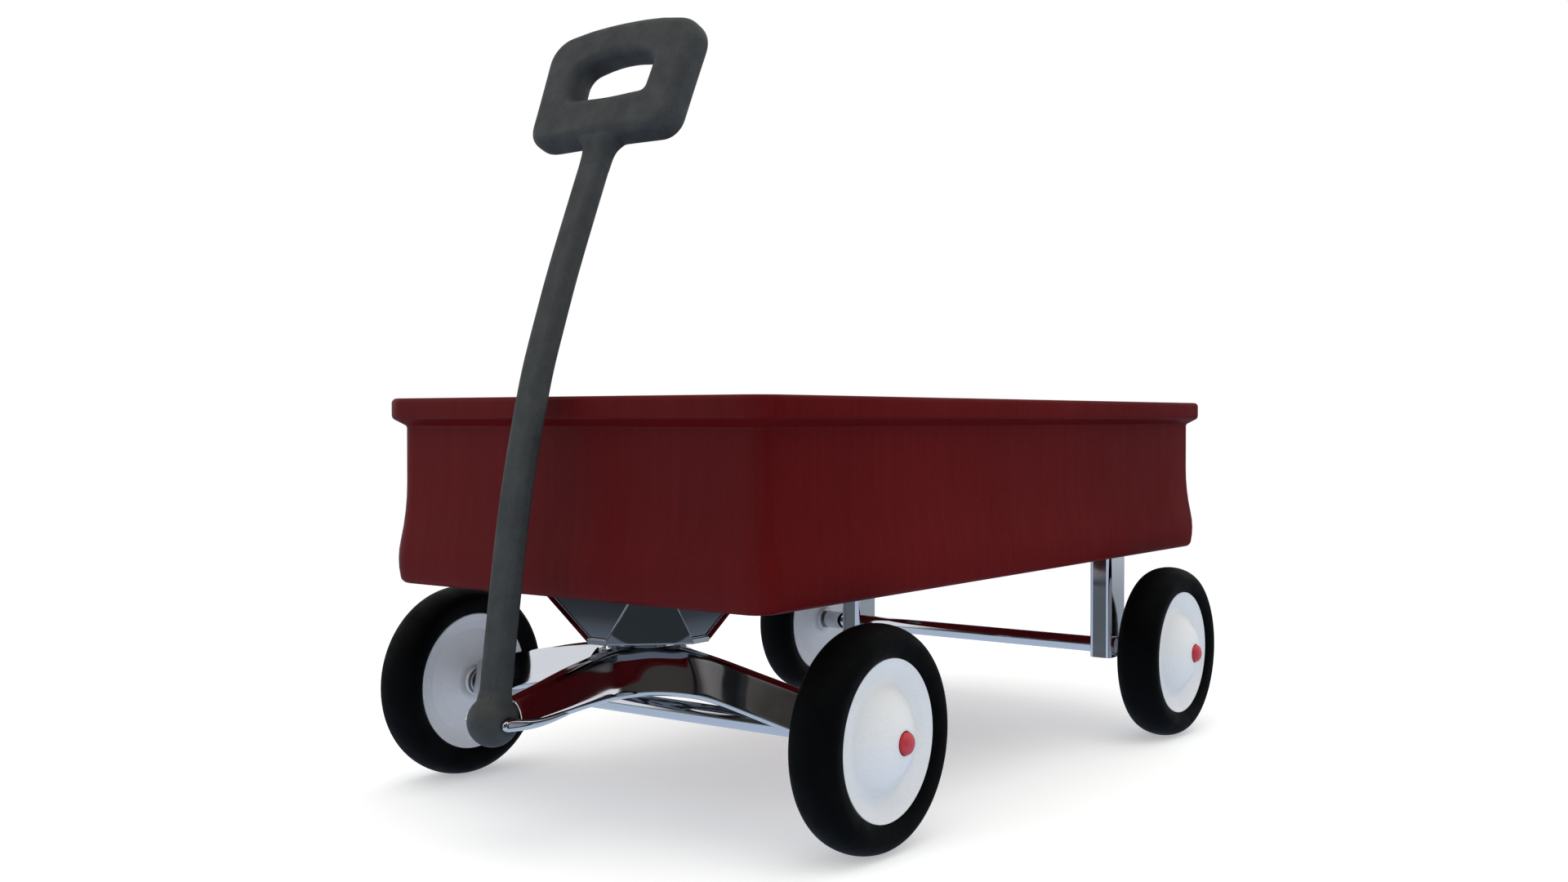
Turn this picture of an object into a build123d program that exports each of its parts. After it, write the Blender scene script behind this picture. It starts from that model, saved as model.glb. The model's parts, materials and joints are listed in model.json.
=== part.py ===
from build123d import *
import os
from math import sin, cos, tan, radians, degrees, sqrt, atan2, pi

# Child's pull wagon: pressed steel tub on two axles, steered front fork with
# a folding pull handle.  +X is the pulling direction, +Z is up, Z = 0 is the
# ground, the origin is the centre of the footprint.  All sizes in millimetres.

os.makedirs("parts", exist_ok=True)

# ------------------------------------------------------------------ dimensions
X_FRONT = 286.58           # front axle and kingpin axis
WHEELBASE = 627.4
X_REAR = X_FRONT - WHEELBASE
AXLE_Z = 98.0              # axle height = tyre radius
AXLE_R = 9.5
TRACK_Y = 256.0            # wheel middle plane

# tub
TUB_X0 = X_FRONT - 775.5   # waist outline, rear
TUB_X1 = X_FRONT + 110.0   # waist outline, front
TUB_HALF_Y = 223.0
TUB_CORNER_R = 17.0
TUB_BOTTOM_Z = 210.2
TUB_TOP_Z = 389.9
SHEET = 1.0
FLOOR_RAISE = 6.0
RIM_OVERHANG = 14.45

# turntable bracket
BRACKET_Z0 = 163.3
BRACKET_Z1 = 168.4
BRACKET_HALF = 56.0        # centre to the side a leg rises from
BRACKET_LEG_HALF = 40.0    # half width of a leg at its root
LEG_TOP_HALF = 19.0
LEG_ANGLE = 48.0
LEG_T = 6.5
WEB_WALL = 3.0             # webs that close the gaps between the legs

# kingpin
KINGPIN_R = 6.0
NECK_R = 33.0
NECK_TOP_Z = 160.3

# rear posts
POST_Y = 180.0
POST_WX = 44.0
POST_WY = 27.0
POST_WALL = 2.5
POST_BOTTOM_Z = 85.5

# wheel, drawn about its own axis, outboard positive
TYRE_R = 98.0
BEAD_R = 70.0
RIM_R = 66.0
HUB_R = 14.5
HUB_BORE_R = 12.0
BUSH_R = 9.55
HUB_IN = -22.0
HUB_OUT = 31.9
CAP_R = 9.6
CAP_TIP = 41.0

# handle
BALL_X = X_FRONT + 194.7
BALL_Z = 113.4
BALL_R = 22.1
BALL_FLAT = 19.5
PIN_R = 4.0
SHAFT_WX = 17.0
SHAFT_WY = 27.0
SHAFT_R = 6.0
GRIP_T = 30.0

NODES = {}


def put(name, shape):
    """Keep a finished node; several solids may share one node."""
    solids = shape.solids() if hasattr(shape, "solids") else [s for p in shape for s in p.solids()]
    NODES[name] = Compound(children=list(solids)) if len(solids) > 1 else solids[0]
    NODES[name].label = name


def cyl_z(r, z0, z1, x=0.0, y=0.0):
    return Pos(x, y, (z0 + z1) / 2) * Cylinder(r, z1 - z0)


def cyl_y(r, y0, y1, x=0.0, z=0.0):
    return Pos(x, (y0 + y1) / 2, z) * (Rot(90, 0, 0) * Cylinder(r, y1 - y0))


def tube_y(r_out, r_in, y0, y1, x=0.0, z=0.0):
    return cyl_y(r_out, y0, y1, x, z) - cyl_y(r_in, y0 - 1, y1 + 1, x, z)


def tube_z(r_out, r_in, z0, z1, x=0.0, y=0.0):
    return cyl_z(r_out, z0, z1, x, y) - cyl_z(r_in, z0 - 1, z1 + 1, x, y)


def box(x0, x1, y0, y1, z0, z1):
    return Pos((x0 + x1) / 2, (y0 + y1) / 2, (z0 + z1) / 2) * Box(x1 - x0, y1 - y0, z1 - z0)


def hex_z(across, z0, z1, x=0.0, y=0.0):
    return Pos(x, y, z0) * extrude(RegularPolygon(across / 2, 6, major_radius=False), z1 - z0)


# ------------------------------------------------------------------------- tub
def turtle(start, heading, moves, side=0.0):
    """Edges of a line and arc chain, displaced to its left by side."""
    x, z = start
    a = radians(heading)
    edges, pts = [], []

    def off(px, pz, ang):
        return (px - side * sin(ang), pz + side * cos(ang))

    pts.append(off(x, z, a))
    for m in moves:
        if m[0] == "L":
            nx, nz, na = x + m[1] * cos(a), z + m[1] * sin(a), a
            edges.append(("L", off(x, z, a), off(nx, nz, na)))
        else:
            r, da = m[1], radians(m[2])
            s = 1.0 if da > 0 else -1.0
            cx, cz = x - s * r * sin(a), z + s * r * cos(a)
            na = a + da
            nx, nz = cx + s * r * sin(na), cz - s * r * cos(na)
            ma = a + da / 2
            mx, mz = cx + s * r * sin(ma), cz - s * r * cos(ma)
            edges.append(("A", off(x, z, a), off(mx, mz, ma), off(nx, nz, na)))
        x, z, a = nx, nz, na
        pts.append(off(x, z, a))
    return edges


# outside skin from the bottom ring, up the swelled lower band, the waist, and
# round the rolled rim; the sheet lies to the left of this chain
CURL_R = 6.6
curl_top = TUB_TOP_Z - CURL_R
SKIN = [
    ("L", 13.0), ("A", 7.5, 78.0), ("A", 85.0, 24.5), ("A", 261.0, -12.5),
]


def chain_end(start, heading, moves):
    x, z = start
    a = radians(heading)
    for m in moves:
        if m[0] == "L":
            x, z = x + m[1] * cos(a), z + m[1] * sin(a)
        else:
            r, da = m[1], radians(m[2])
            s = 1.0 if da > 0 else -1.0
            cx, cz = x - s * r * sin(a), z + s * r * cos(a)
            a += da
            x, z = cx + s * r * sin(a), cz - s * r * cos(a)
    return x, z, degrees(a)


SKIN_START = (-14.0, TUB_BOTTOM_Z)
ex, ez, ea = chain_end(SKIN_START, 0.0, SKIN)
SKIN_START = (-14.0 - ex, TUB_BOTTOM_Z)
SKIN += [("L", curl_top - ez), ("A", CURL_R - SHEET, -90.0),
         ("L", RIM_OVERHANG - CURL_R - (CURL_R - SHEET)), ("A", CURL_R - SHEET, -90.0),
         ("L", 8.6), ("A", CURL_R - SHEET, -100.0), ("L", 3.6)]


def skin_wires(plane):
    a = turtle(SKIN_START, 0.0, SKIN, 0.0)
    b = turtle(SKIN_START, 0.0, SKIN, SHEET)
    edges = []
    for e in a:
        edges.append(e)
    edges.append(("L", a[-1][-1], b[-1][-1]))
    for e in reversed(b):
        edges.append((e[0],) + tuple(reversed(e[1:])))
    edges.append(("L", b[0][1], a[0][1]))
    out = []
    for e in edges:
        pts = [plane.from_local_coords(Vector(p[0], p[1], 0)) for p in e[1:]]
        if e[0] == "L":
            out.append(Edge.make_line(*pts))
        else:
            out.append(Edge.make_three_point_arc(*pts))
    return Face(Wire(out))


tub_cx, tub_lx = (TUB_X0 + TUB_X1) / 2, TUB_X1 - TUB_X0
# straight walls are extruded, corners are revolved, so every wall is a plane,
# a cylinder or a torus
walls = []
sx, sy = tub_lx / 2 - TUB_CORNER_R, TUB_HALF_Y - TUB_CORNER_R
for ang, half_len, dist in ((0, sy, tub_lx / 2), (90, sx, TUB_HALF_Y), (180, sy, tub_lx / 2), (270, sx, TUB_HALF_Y)):
    c, s = cos(radians(ang)), sin(radians(ang))
    o = Vector(tub_cx + dist * c + half_len * s, dist * s - half_len * c, 0)
    pl = Plane(origin=o, x_dir=(c, s, 0), z_dir=(s, -c, 0))
    walls.append(Solid.extrude(skin_wires(pl), Vector(-s, c, 0) * (2 * half_len)))
for qx, qy, a0 in ((1, 1, 0), (-1, 1, 90), (-1, -1, 180), (1, -1, 270)):
    cxp, cyp = tub_cx + qx * sx, qy * sy
    c, s = cos(radians(a0)), sin(radians(a0))
    pl = Plane(origin=Vector(cxp + TUB_CORNER_R * c, cyp + TUB_CORNER_R * s, 0), x_dir=(c, s, 0), z_dir=(s, -c, 0))
    walls.append(Solid.revolve(skin_wires(pl), 90.0, Axis((cxp, cyp, 0), (0, 0, 1))))

# bottom: a flat ring with a raised, ribbed panel pressed into it
inner_l, inner_w = tub_lx - 2 * 13.0, 2 * TUB_HALF_Y - 2 * 13.0


def rr(l, w, r, z):
    return Pos(tub_cx, 0, z) * RectangleRounded(l, w, r)


PANEL_IN = 18.0
panel_l, panel_w = tub_lx - 2 * PANEL_IN, 2 * TUB_HALF_Y - 2 * PANEL_IN
ring = extrude(rr(inner_l, inner_w, 6, TUB_BOTTOM_Z), SHEET)
dome_out = extrude(rr(panel_l, panel_w, 14, TUB_BOTTOM_Z + SHEET), FLOOR_RAISE, taper=40)
dome_in = extrude(rr(panel_l - 0.6, panel_w - 0.6, 13.6, TUB_BOTTOM_Z - 0.001), FLOOR_RAISE + 0.001, taper=40)
floor = ring + dome_out - dome_in
# four pressed ribs across the whole panel split the floor into bays
FLOOR_Z = TUB_BOTTOM_Z + FLOOR_RAISE + SHEET
RIB_XS = [X_FRONT - 118.0, X_FRONT - 252.0, X_FRONT - 386.0, X_FRONT - 520.0]
RIB_R, RIB_H = 9.0, 3.0
for rx in RIB_XS:
    rib_half = panel_w / 2 - FLOOR_RAISE * tan(radians(40)) + 0.5
    up = Pos(rx, 0, FLOOR_Z + RIB_H - RIB_R) * (Rot(90, 0, 0) * Cylinder(RIB_R, 2 * rib_half))
    lo = Pos(rx, 0, FLOOR_Z + RIB_H - RIB_R) * (Rot(90, 0, 0) * Cylinder(RIB_R - SHEET, 2 * rib_half + 4))
    keep = box(rx - 20, rx + 20, -300, 300, TUB_BOTTOM_Z + FLOOR_RAISE, FLOOR_Z + 20)
    under = box(rx - 20, rx + 20, -rib_half + SHEET, rib_half - SHEET, FLOOR_Z - SHEET - 0.01, FLOOR_Z + 20)
    floor = floor + (up & keep)
    floor = floor - (lo & under)

tub = floor
for w in walls:
    tub = tub + w

# bolt places: (x, y) of the bracket feet, and of the post flanges
FOOT_R = 79.0
BRACKET_BOLTS = [(X_FRONT + FOOT_R * cos(radians(a)), FOOT_R * sin(radians(a))) for a in (45, 135, 225, 315)]
POST_BOLTS = [(X_REAR + dx, s * POST_Y) for s in (1, -1) for dx in (-36.0, 36.0)]
BOLT_R = 3.0
for bx, by in BRACKET_BOLTS + POST_BOLTS:
    tub = tub - cyl_z(BOLT_R + 0.05, 200, 230, bx, by)
put("tub", tub)

# ----------------------------------------------------------- turntable bracket
UNDER_Z = TUB_BOTTOM_Z + FLOOR_RAISE     # underside of the raised panel
octo = Polygon(*[(BRACKET_HALF, -BRACKET_LEG_HALF), (BRACKET_HALF, BRACKET_LEG_HALF),
                 (BRACKET_LEG_HALF, BRACKET_HALF), (-BRACKET_LEG_HALF, BRACKET_HALF),
                 (-BRACKET_HALF, BRACKET_LEG_HALF), (-BRACKET_HALF, -BRACKET_LEG_HALF),
                 (-BRACKET_LEG_HALF, -BRACKET_HALF), (BRACKET_LEG_HALF, -BRACKET_HALF)], align=None)
plate = Pos(0, 0, BRACKET_Z0) * extrude(octo, BRACKET_Z1 - BRACKET_Z0)
ta = tan(radians(LEG_ANGLE))
foot_z = UNDER_Z - 3.0
r_low = 55.0
r_hi = r_low + (UNDER_Z - BRACKET_Z0) / ta
nx_, nz_ = -LEG_T * sin(radians(LEG_ANGLE)), LEG_T * cos(radians(LEG_ANGLE))


def inner_at(z):
    return r_low + nx_ + (z - (BRACKET_Z0 + nz_)) / ta


leg_prof = [(48.0, BRACKET_Z0), (r_low, BRACKET_Z0), (r_hi, UNDER_Z), (68.0, UNDER_Z), (68.0, foot_z),
            (inner_at(foot_z), foot_z), (inner_at(BRACKET_Z1), BRACKET_Z1), (48.0, BRACKET_Z1)]
leg_face = Plane.XZ * Polygon(*leg_prof, align=None)
leg = extrude(leg_face, 50, both=True)
trap = Plane.YZ * Polygon((-BRACKET_LEG_HALF, 160), (BRACKET_LEG_HALF, 160), (BRACKET_LEG_HALF, BRACKET_Z0 + 3),
                          (LEG_TOP_HALF, foot_z - 4), (LEG_TOP_HALF, 220), (-LEG_TOP_HALF, 220),
                          (-LEG_TOP_HALF, foot_z - 4), (-BRACKET_LEG_HALF, BRACKET_Z0 + 3), align=None)
leg = leg & extrude(trap, 200, both=True)
leg = leg - cyl_z(BOLT_R + 0.05, 205, 225, FOOT_R, 0)


def web_ring(z, depth, slim):
    """Octagon through the legs' thickness at one height, recessed at the corners."""
    r = r_low + (z - BRACKET_Z0) / ta - depth / sin(radians(LEG_ANGLE))
    w = BRACKET_LEG_HALF - (BRACKET_LEG_HALF - LEG_TOP_HALF) * (z - BRACKET_Z0 - 3) / (foot_z - 7 - BRACKET_Z0) - slim
    return Pos(0, 0, z) * Polygon((r, -w), (r, w), (w, r), (-w, r), (-r, w), (-r, -w), (-w, -r), (w, -r), align=None)


def web_cone(z0, z1, depth, slim):
    return loft([web_ring(z0, depth, slim), web_ring(z1, depth, slim)], ruled=True)


webs = web_cone(BRACKET_Z0 + 1, foot_z, 1.5, 4.0) - web_cone(BRACKET_Z1 - 1, foot_z + 1, 1.5 + WEB_WALL, 4.4)
bracket = plate + webs
for a in (0, 90, 180, 270):
    bracket = bracket + Rot(0, 0, a) * leg
bracket = bracket - cyl_z(KINGPIN_R + 0.05, 150, 180)
put("turntable_bracket", Pos(X_FRONT, 0, 0) * (Rot(0, 0, 45) * bracket))


def bolt_up(x, y, z_seat, z_end):
    """Domed-head bolt with its head on the tub floor and its shank down."""
    head = Pos(x, y, z_seat) * (Sphere(7.6) & box(-9, 9, -9, 9, 4.0, 9)).moved(Location((0, 0, -4.0)))
    return head + cyl_z(BOLT_R, z_end, z_seat + 1, x, y)


def nut_ring(x, y, z0, z1, across=10.0, bore=BOLT_R + 0.02):
    return hex_z(across, z0, z1, x, y) - cyl_z(bore, z0 - 1, z1 + 1, x, y)


put("bracket_bolts", [bolt_up(x, y, FLOOR_Z, foot_z - 9) for x, y in BRACKET_BOLTS])
put("bracket_nuts", [nut_ring(x, y, foot_z - 5.5, foot_z) for x, y in BRACKET_BOLTS])

# --------------------------------------------------------------------- kingpin
NUT_TOP = 134.0
kp = hex_z(18, BRACKET_Z1, BRACKET_Z1 + 7, X_FRONT) + cyl_z(KINGPIN_R, NUT_TOP - 11, BRACKET_Z1 + 1, X_FRONT)
put("kingpin", kp)
put("kingpin_washer", tube_z(13, KINGPIN_R + 0.05, NUT_TOP - 2.0, NUT_TOP - 0.1, X_FRONT))
put("kingpin_nut", hex_z(18, NUT_TOP - 9.5, NUT_TOP - 2.0, X_FRONT) - cyl_z(KINGPIN_R + 0.02, 120, 140, X_FRONT))

# ------------------------------------------------------------------ rear posts
def rear_post(sy):
    y = sy * POST_Y
    outer = Pos(X_REAR, y, POST_BOTTOM_Z) * extrude(RectangleRounded(POST_WX, POST_WY, 5.0), UNDER_Z - POST_BOTTOM_Z)
    inner = Pos(X_REAR, y, POST_BOTTOM_Z + 3) * extrude(
        RectangleRounded(POST_WX - 2 * POST_WALL, POST_WY - 2 * POST_WALL, 2.6), UNDER_Z - POST_BOTTOM_Z)
    flange = Pos(X_REAR, y, UNDER_Z - 3.0) * extrude(RectangleRounded(96.0, 38.0, 9.0), 3.0)
    post = outer + flange - inner
    post = post - cyl_y(AXLE_R + 0.02, y - 40, y + 40, X_REAR, AXLE_Z)
    for bx, by in POST_BOLTS:
        post = post - cyl_z(BOLT_R + 0.05, 205, 225, bx, by)
    return post


put("rear_post_left", rear_post(1))
put("rear_post_right", rear_post(-1))
put("rear_post_bolts", [bolt_up(x, y, FLOOR_Z, foot_z - 9) for x, y in POST_BOLTS])
put("rear_post_nuts", [nut_ring(x, y, foot_z - 5.5, foot_z) for x, y in POST_BOLTS])


# ----------------------------------------------------------------------- axles
SHOULDER = TRACK_Y + 24.7       # full-diameter rod ends here
STUD_R = 7.0
AXLE_BORE_R = 5.0
STUD_END = TRACK_Y + 35.0


def axle(x):
    rod = cyl_y(AXLE_R, -SHOULDER, SHOULDER, x, AXLE_Z)
    return rod + cyl_y(STUD_R, -STUD_END, STUD_END, x, AXLE_Z) - cyl_y(AXLE_BORE_R, -400, 400, x, AXLE_Z)


def axle_caps(x):
    """Press-on domed caps over the turned-down axle ends."""
    dome_r = CAP_R + 0.15
    cap = cyl_y(CAP_R, 0, 6.0) + ((Pos(0, 14.8 - dome_r, 0) * Sphere(dome_r)) & cyl_y(CAP_R, 5.0, 20.0))
    cap = cap - cyl_y(STUD_R + 0.02, -1, 9.2)
    y0 = TRACK_Y + 26.2
    left = Pos(x, y0, AXLE_Z) * cap
    right = Pos(x, -y0, AXLE_Z) * (Rot(0, 0, 180) * cap)
    return [left, right]


def wheel_washers(x):
    out = []
    for s in (1, -1):
        a, b = s * (TRACK_Y - 23.6), s * (TRACK_Y - 22.1)
        out.append(tube_y(13.5, AXLE_R + 0.04, min(a, b), max(a, b), x, AXLE_Z))
        a, b = s * (TRACK_Y + 24.7), s * (TRACK_Y + 26.2)
        out.append(tube_y(11.7, STUD_R + 0.04, min(a, b), max(a, b), x, AXLE_Z))
    return out


def spacers(x, y0, r):
    out = []
    for s in (1, -1):
        a, b = s * y0, s * (TRACK_Y - 23.6)
        out.append(tube_y(r, AXLE_R + 0.04, min(a, b), max(a, b), x, AXLE_Z))
    return out


ARM_END = 229.0
put("rear_axle", axle(X_REAR))
put("rear_axle_spacers", spacers(X_REAR, POST_Y + POST_WY / 2, 11.2))
put("rear_wheel_washers", wheel_washers(X_REAR))
put("rear_axle_caps", axle_caps(X_REAR))
put("front_axle", axle(X_FRONT))
put("front_axle_spacers", spacers(X_FRONT, ARM_END, 12.5))
put("front_wheel_washers", wheel_washers(X_FRONT))
put("front_axle_caps", axle_caps(X_FRONT))

# --------------------------------------------------------------- steering fork
# One pressed and chromed spider: a round crown, two wheel arms and the tongue.
ARM_W = 27.0
ARM_WALL = 3.0


def spl(*pts):
    return Spline(*pts)


# wheel arms, side view in the Y-Z plane (one half, mirrored)
top_pts = [(0, 155.5), (40, 155.2), (66, 154.0), (114, 145.5), (160, 136.0), (200, 127.5), (ARM_END, 121.0)]
bot_pts = [(ARM_END, 86.5), (214, 86.5), (196, 94.0), (176, 98.5), (133, 107.5), (95, 115.5), (60, 118.5), (0, 119.0)]


def arm_section(d_top, cut=False):
    t = [(y, z - d_top) for y, z in top_pts]
    full = [(-y, z) for y, z in reversed(t)] + t[1:]
    if not cut:
        b = bot_pts
        lower = b + [(-y, z) for y, z in reversed(b)][1:]
        return Polygon(*(full + lower), align=None)
    return Polygon(*(full + [(ARM_END, 60), (-ARM_END, 60)]), align=None)


arm_face = Plane.YZ * arm_section(0)
arms = extrude(arm_face, ARM_W / 2, both=True)
arms = fillet(arms.edges().filter_by(lambda e: e.center().Z > 119.5 and abs(e.center().X) > 13.0
                                     and e.bounding_box().size.X < 0.1 and abs(e.center().Y) < ARM_END - 1), 6.0)
# tongue, side view in the X-Z plane
tongue_top = [(0, 155.5), (40, 157.5), (64, 157.0), (87, 150.7), (134.5, 138.7), (160, 132.6), (176, 129.5)]
tongue_bot = [(176, 109.0), (140, 111.0), (110, 113.5), (60, 117.5), (0, 119.0)]
TONGUE_HALF = 24.0
EAR_OUT = TONGUE_HALF + 1.5
tongue = extrude(Plane.XZ * Polygon(*(tongue_top + tongue_bot), align=None), TONGUE_HALF, both=True)
# the tongue narrows towards its top edge
wedge = Plane.YZ * Polygon((-TONGUE_HALF, 100), (TONGUE_HALF, 100), (TONGUE_HALF, 118), (8.5, 160), (-8.5, 160),
                           (-TONGUE_HALF, 118), align=None)
tongue = tongue & extrude(wedge, 200, both=True)
crown_prof = Plane.XZ * make_face([
    Line((0, 119), (54, 119)), Line((54, 119), (54, 124)), ThreePointArc((54, 124), (39.5, 139.5), (NECK_R, 154.0)),
    Line((NECK_R, 154.0), (NECK_R, NECK_TOP_Z)), Line((NECK_R, NECK_TOP_Z), (0, NECK_TOP_Z)), Line((0, NECK_TOP_Z), (0, 119))])
crown = revolve(crown_prof, Axis.Z)
# ears at the front, either side of the ball
ears = None
for s in (1, -1):
    y0, y1 = s * (BALL_FLAT + 0.5), s * EAR_OUT
    bar = box(150, 194.7, min(y0, y1), max(y0, y1), 107.0, 119.8)
    eye = cyl_y(6.4, min(y0, y1), max(y0, y1), 194.7, BALL_Z)
    e = bar + eye
    ears = e if ears is None else ears + e
fork = arms + crown + tongue + ears
# hollow underside, leaving a wall all round
inner_arm = extrude(Plane.YZ * Polygon(*([(-y, z - 4) for y, z in reversed(top_pts[2:-1])] +
                                         [(-30, 134), (30, 134)] +
                                         [(y, z - 4) for y, z in top_pts[2:-1]] +
                                         [(200, 60), (-200, 60)]), align=None), ARM_W / 2 - ARM_WALL, both=True)
inner_crown = extrude(Pos(0, 0, 100) * Circle(45), 26) + extrude(Pos(0, 0, 125.9) * Circle(30), 8.1)
inner_tongue = extrude(Plane.XZ * Polygon((0, 134), (64, 134), (87, 143), (134.5, 131.5), (166, 126), (166, 60), (0, 60), align=None), 20, both=True)
wedge_in = Plane.YZ * Polygon((-20.5, 60), (20.5, 60), (20.5, 118), (6.0, 155), (-6.0, 155), (-20.5, 118), align=None)
inner_tongue = inner_tongue & extrude(wedge_in, 200, both=True)
fork = fork - inner_arm - inner_crown - inner_tongue
# clearance for the ball, bush bore, axle bore
fork = fork - cyl_y(BALL_R + 1.4, -(BALL_FLAT + 0.5), BALL_FLAT + 0.5, 194.7, BALL_Z)
BUSH_OUT = 9.0
fork = fork - cyl_z(BUSH_OUT + 0.02, 100, 170)
fork = fork - cyl_y(AXLE_R + 0.02, -250, 250, 0, AXLE_Z)
fork = fork - cyl_y(PIN_R + 0.02, -60, 60, 194.7, BALL_Z)
put("steering_fork", Pos(X_FRONT, 0, 0) * fork)
put("kingpin_bush", tube_z(BUSH_OUT, KINGPIN_R + 0.05, NUT_TOP, NECK_TOP_Z, X_FRONT))
put("turntable_washer", tube_z(NECK_R, KINGPIN_R + 0.05, NECK_TOP_Z, BRACKET_Z0, X_FRONT))

# pivot pin of the handle, pressed flush into the left ear and capped at the right
pin = cyl_y(PIN_R, -EAR_OUT - 3, EAR_OUT - 0.3, BALL_X, BALL_Z)
put("handle_pin", pin)
put("handle_pin_cap", tube_y(6.0, PIN_R + 0.01, -EAR_OUT - 2.6, -EAR_OUT, BALL_X, BALL_Z))

# ---------------------------------------------------------------------- handle
# centreline of the bent shaft, from the ball up to the grip, in the X-Z plane
PATH = [(194.7, 113.4), (178.6, 231.8), (164.6, 315.5), (149.8, 380.0), (142.4, 408.0), (127.6, 452.0),
        (111.6, 496.0), (93.6, 541.0), (74.6, 587.0), (64.6, 611.0)]
PATH = [(X_FRONT + x, z) for x, z in PATH]
path_edge = Spline(*[(x, 0, z) for x, z in PATH])
total = path_edge.length
SHAFT_LO = 8.0        # shaft starts this far above the ball centre
SHAFT_HI = total + 22.0
path_wire = path_edge.trim(SHAFT_LO / total, 1.0)
start_loc = path_wire ^ 0


def shaft_section(loc_edge, t, wx, wy, r):
    p = loc_edge @ t
    d = loc_edge % t
    pl = Plane(origin=p, x_dir=(0, 1, 0), z_dir=d)
    return pl * RectangleRounded(wy, wx, r)


shaft = sweep(shaft_section(path_wire, 0, SHAFT_WX, SHAFT_WY, SHAFT_R), path=path_wire)
end_p, end_d = path_wire @ 1, path_wire % 1
end_pl = Plane(origin=end_p, x_dir=(0, 1, 0), z_dir=end_d)
shaft_top = extrude(end_pl * RectangleRounded(SHAFT_WY, SHAFT_WX, SHAFT_R), 34.0)
shaft = shaft + shaft_top

# ball
BC = (BALL_X, 0, BALL_Z)
ball = Pos(*BC) * Sphere(BALL_R)
ball = ball & box(BALL_X - 40, BALL_X + 40, -BALL_FLAT, BALL_FLAT, 50, 200)
sock_d = path_wire % 0
sock_pl = Plane(origin=path_wire @ 0, x_dir=(0, 1, 0), z_dir=sock_d)
socket = extrude(sock_pl * RectangleRounded(SHAFT_WY + 0.1, SHAFT_WX + 0.1, SHAFT_R), 40)
ball = ball - socket - cyl_y(PIN_R + 0.05, -40, 40, BALL_X, BALL_Z)
riv_p = (path_wire @ 0) + sock_d * 6.0
knuckle_rivet = cyl_y(2.0, -BALL_FLAT + 1, BALL_FLAT - 1, riv_p.X, riv_p.Z)
riv_hole = cyl_y(2.01, -40, 40, riv_p.X, riv_p.Z)
ball = ball - riv_hole
shaft = shaft - riv_hole
put("handle_knuckle", ball)
put("knuckle_rivet", knuckle_rivet)

# grip: a closed loop, drawn in the plane of the shaft axis and Y
g_d = Vector(-sin(radians(22.0)), 0, cos(radians(22.0)))
g_o = Vector(X_FRONT + 64.6, 0, 611.0)
g_pl = Plane(origin=g_o, x_dir=(0, 1, 0), z_dir=Vector(0, 1, 0).cross(g_d) * 1.0)

def loop_face(x_lo, z_lo, x_hi, z_hi, z_top, r_lo, r_hi):
    """Rounded outline with an arched top: half widths and heights."""
    f = make_face([Line((-x_lo, z_lo), (x_lo, z_lo)), Line((x_lo, z_lo), (x_hi, z_hi)),
                   ThreePointArc((x_hi, z_hi), (0, z_top), (-x_hi, z_hi)), Line((-x_hi, z_hi), (-x_lo, z_lo))])
    f = fillet([v for v in f.vertices() if v.Y < z_lo + 1], r_lo)
    return fillet([v for v in f.vertices() if v.Y > z_hi - 1], r_hi)


outer = loop_face(86.5, 11.5, 92.5, 124.5, 136.0, 19.0, 26.0)
hole = loop_face(45.0, 55.5, 47.5, 91.5, 98.0, 5.0, 13.0)
grip = extrude(g_pl * (outer - hole), GRIP_T / 2, both=True)
grip = fillet(grip.edges().filter_by(lambda e: abs(abs((e.center() - g_o).dot(g_pl.z_dir)) - GRIP_T / 2) < 0.2), 8.5)
neck_pl = Plane(origin=g_o - g_d * 12.0, x_dir=(0, 1, 0), z_dir=g_d)
neck = extrude(neck_pl * RectangleRounded(35.0, 24.5, 9.0), 30.0)
grip = grip + neck
s_pl = Plane(origin=end_p - end_d * 30, x_dir=(0, 1, 0), z_dir=end_d)
grip = grip - extrude(s_pl * RectangleRounded(SHAFT_WY + 0.1, SHAFT_WX + 0.1, SHAFT_R), 64.2)
riv2 = end_p + end_d * 18.0
ax_n = Vector(0, 1, 0).cross(end_d)


def cyl_dir(r, p, d, l):
    return extrude(Plane(origin=p - d * (l / 2), z_dir=d) * Circle(r), l)


grip_rivets = []
for sy in (-7.0, 7.0):
    c = riv2 + Vector(0, sy, 0)
    grip_rivets.append(cyl_dir(2.2, c, ax_n, GRIP_T - 1.0))
    h = cyl_dir(2.21, c, ax_n, 80)
    grip = grip - h
    shaft = shaft - h
put("handle_grip", grip)
put("grip_rivets", grip_rivets)
put("handle_shaft", shaft)


# ---------------------------------------------------------------------- wheels
def revolve_y(pts_edges):
    return revolve(Plane.XY * make_face(pts_edges), Axis.Y)


def ring_poly(pts):
    edges = [Line(pts[i], pts[(i + 1) % len(pts)]) for i in range(len(pts))]
    return revolve_y(edges)


DISC_T = 1.6
DOME_C = -22.7           # centre of the dome's arc on the wheel axis
DOME_R = 58.2
base_r, base_y = 49.5, DOME_C + sqrt(DOME_R ** 2 - 49.5 ** 2)


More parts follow.
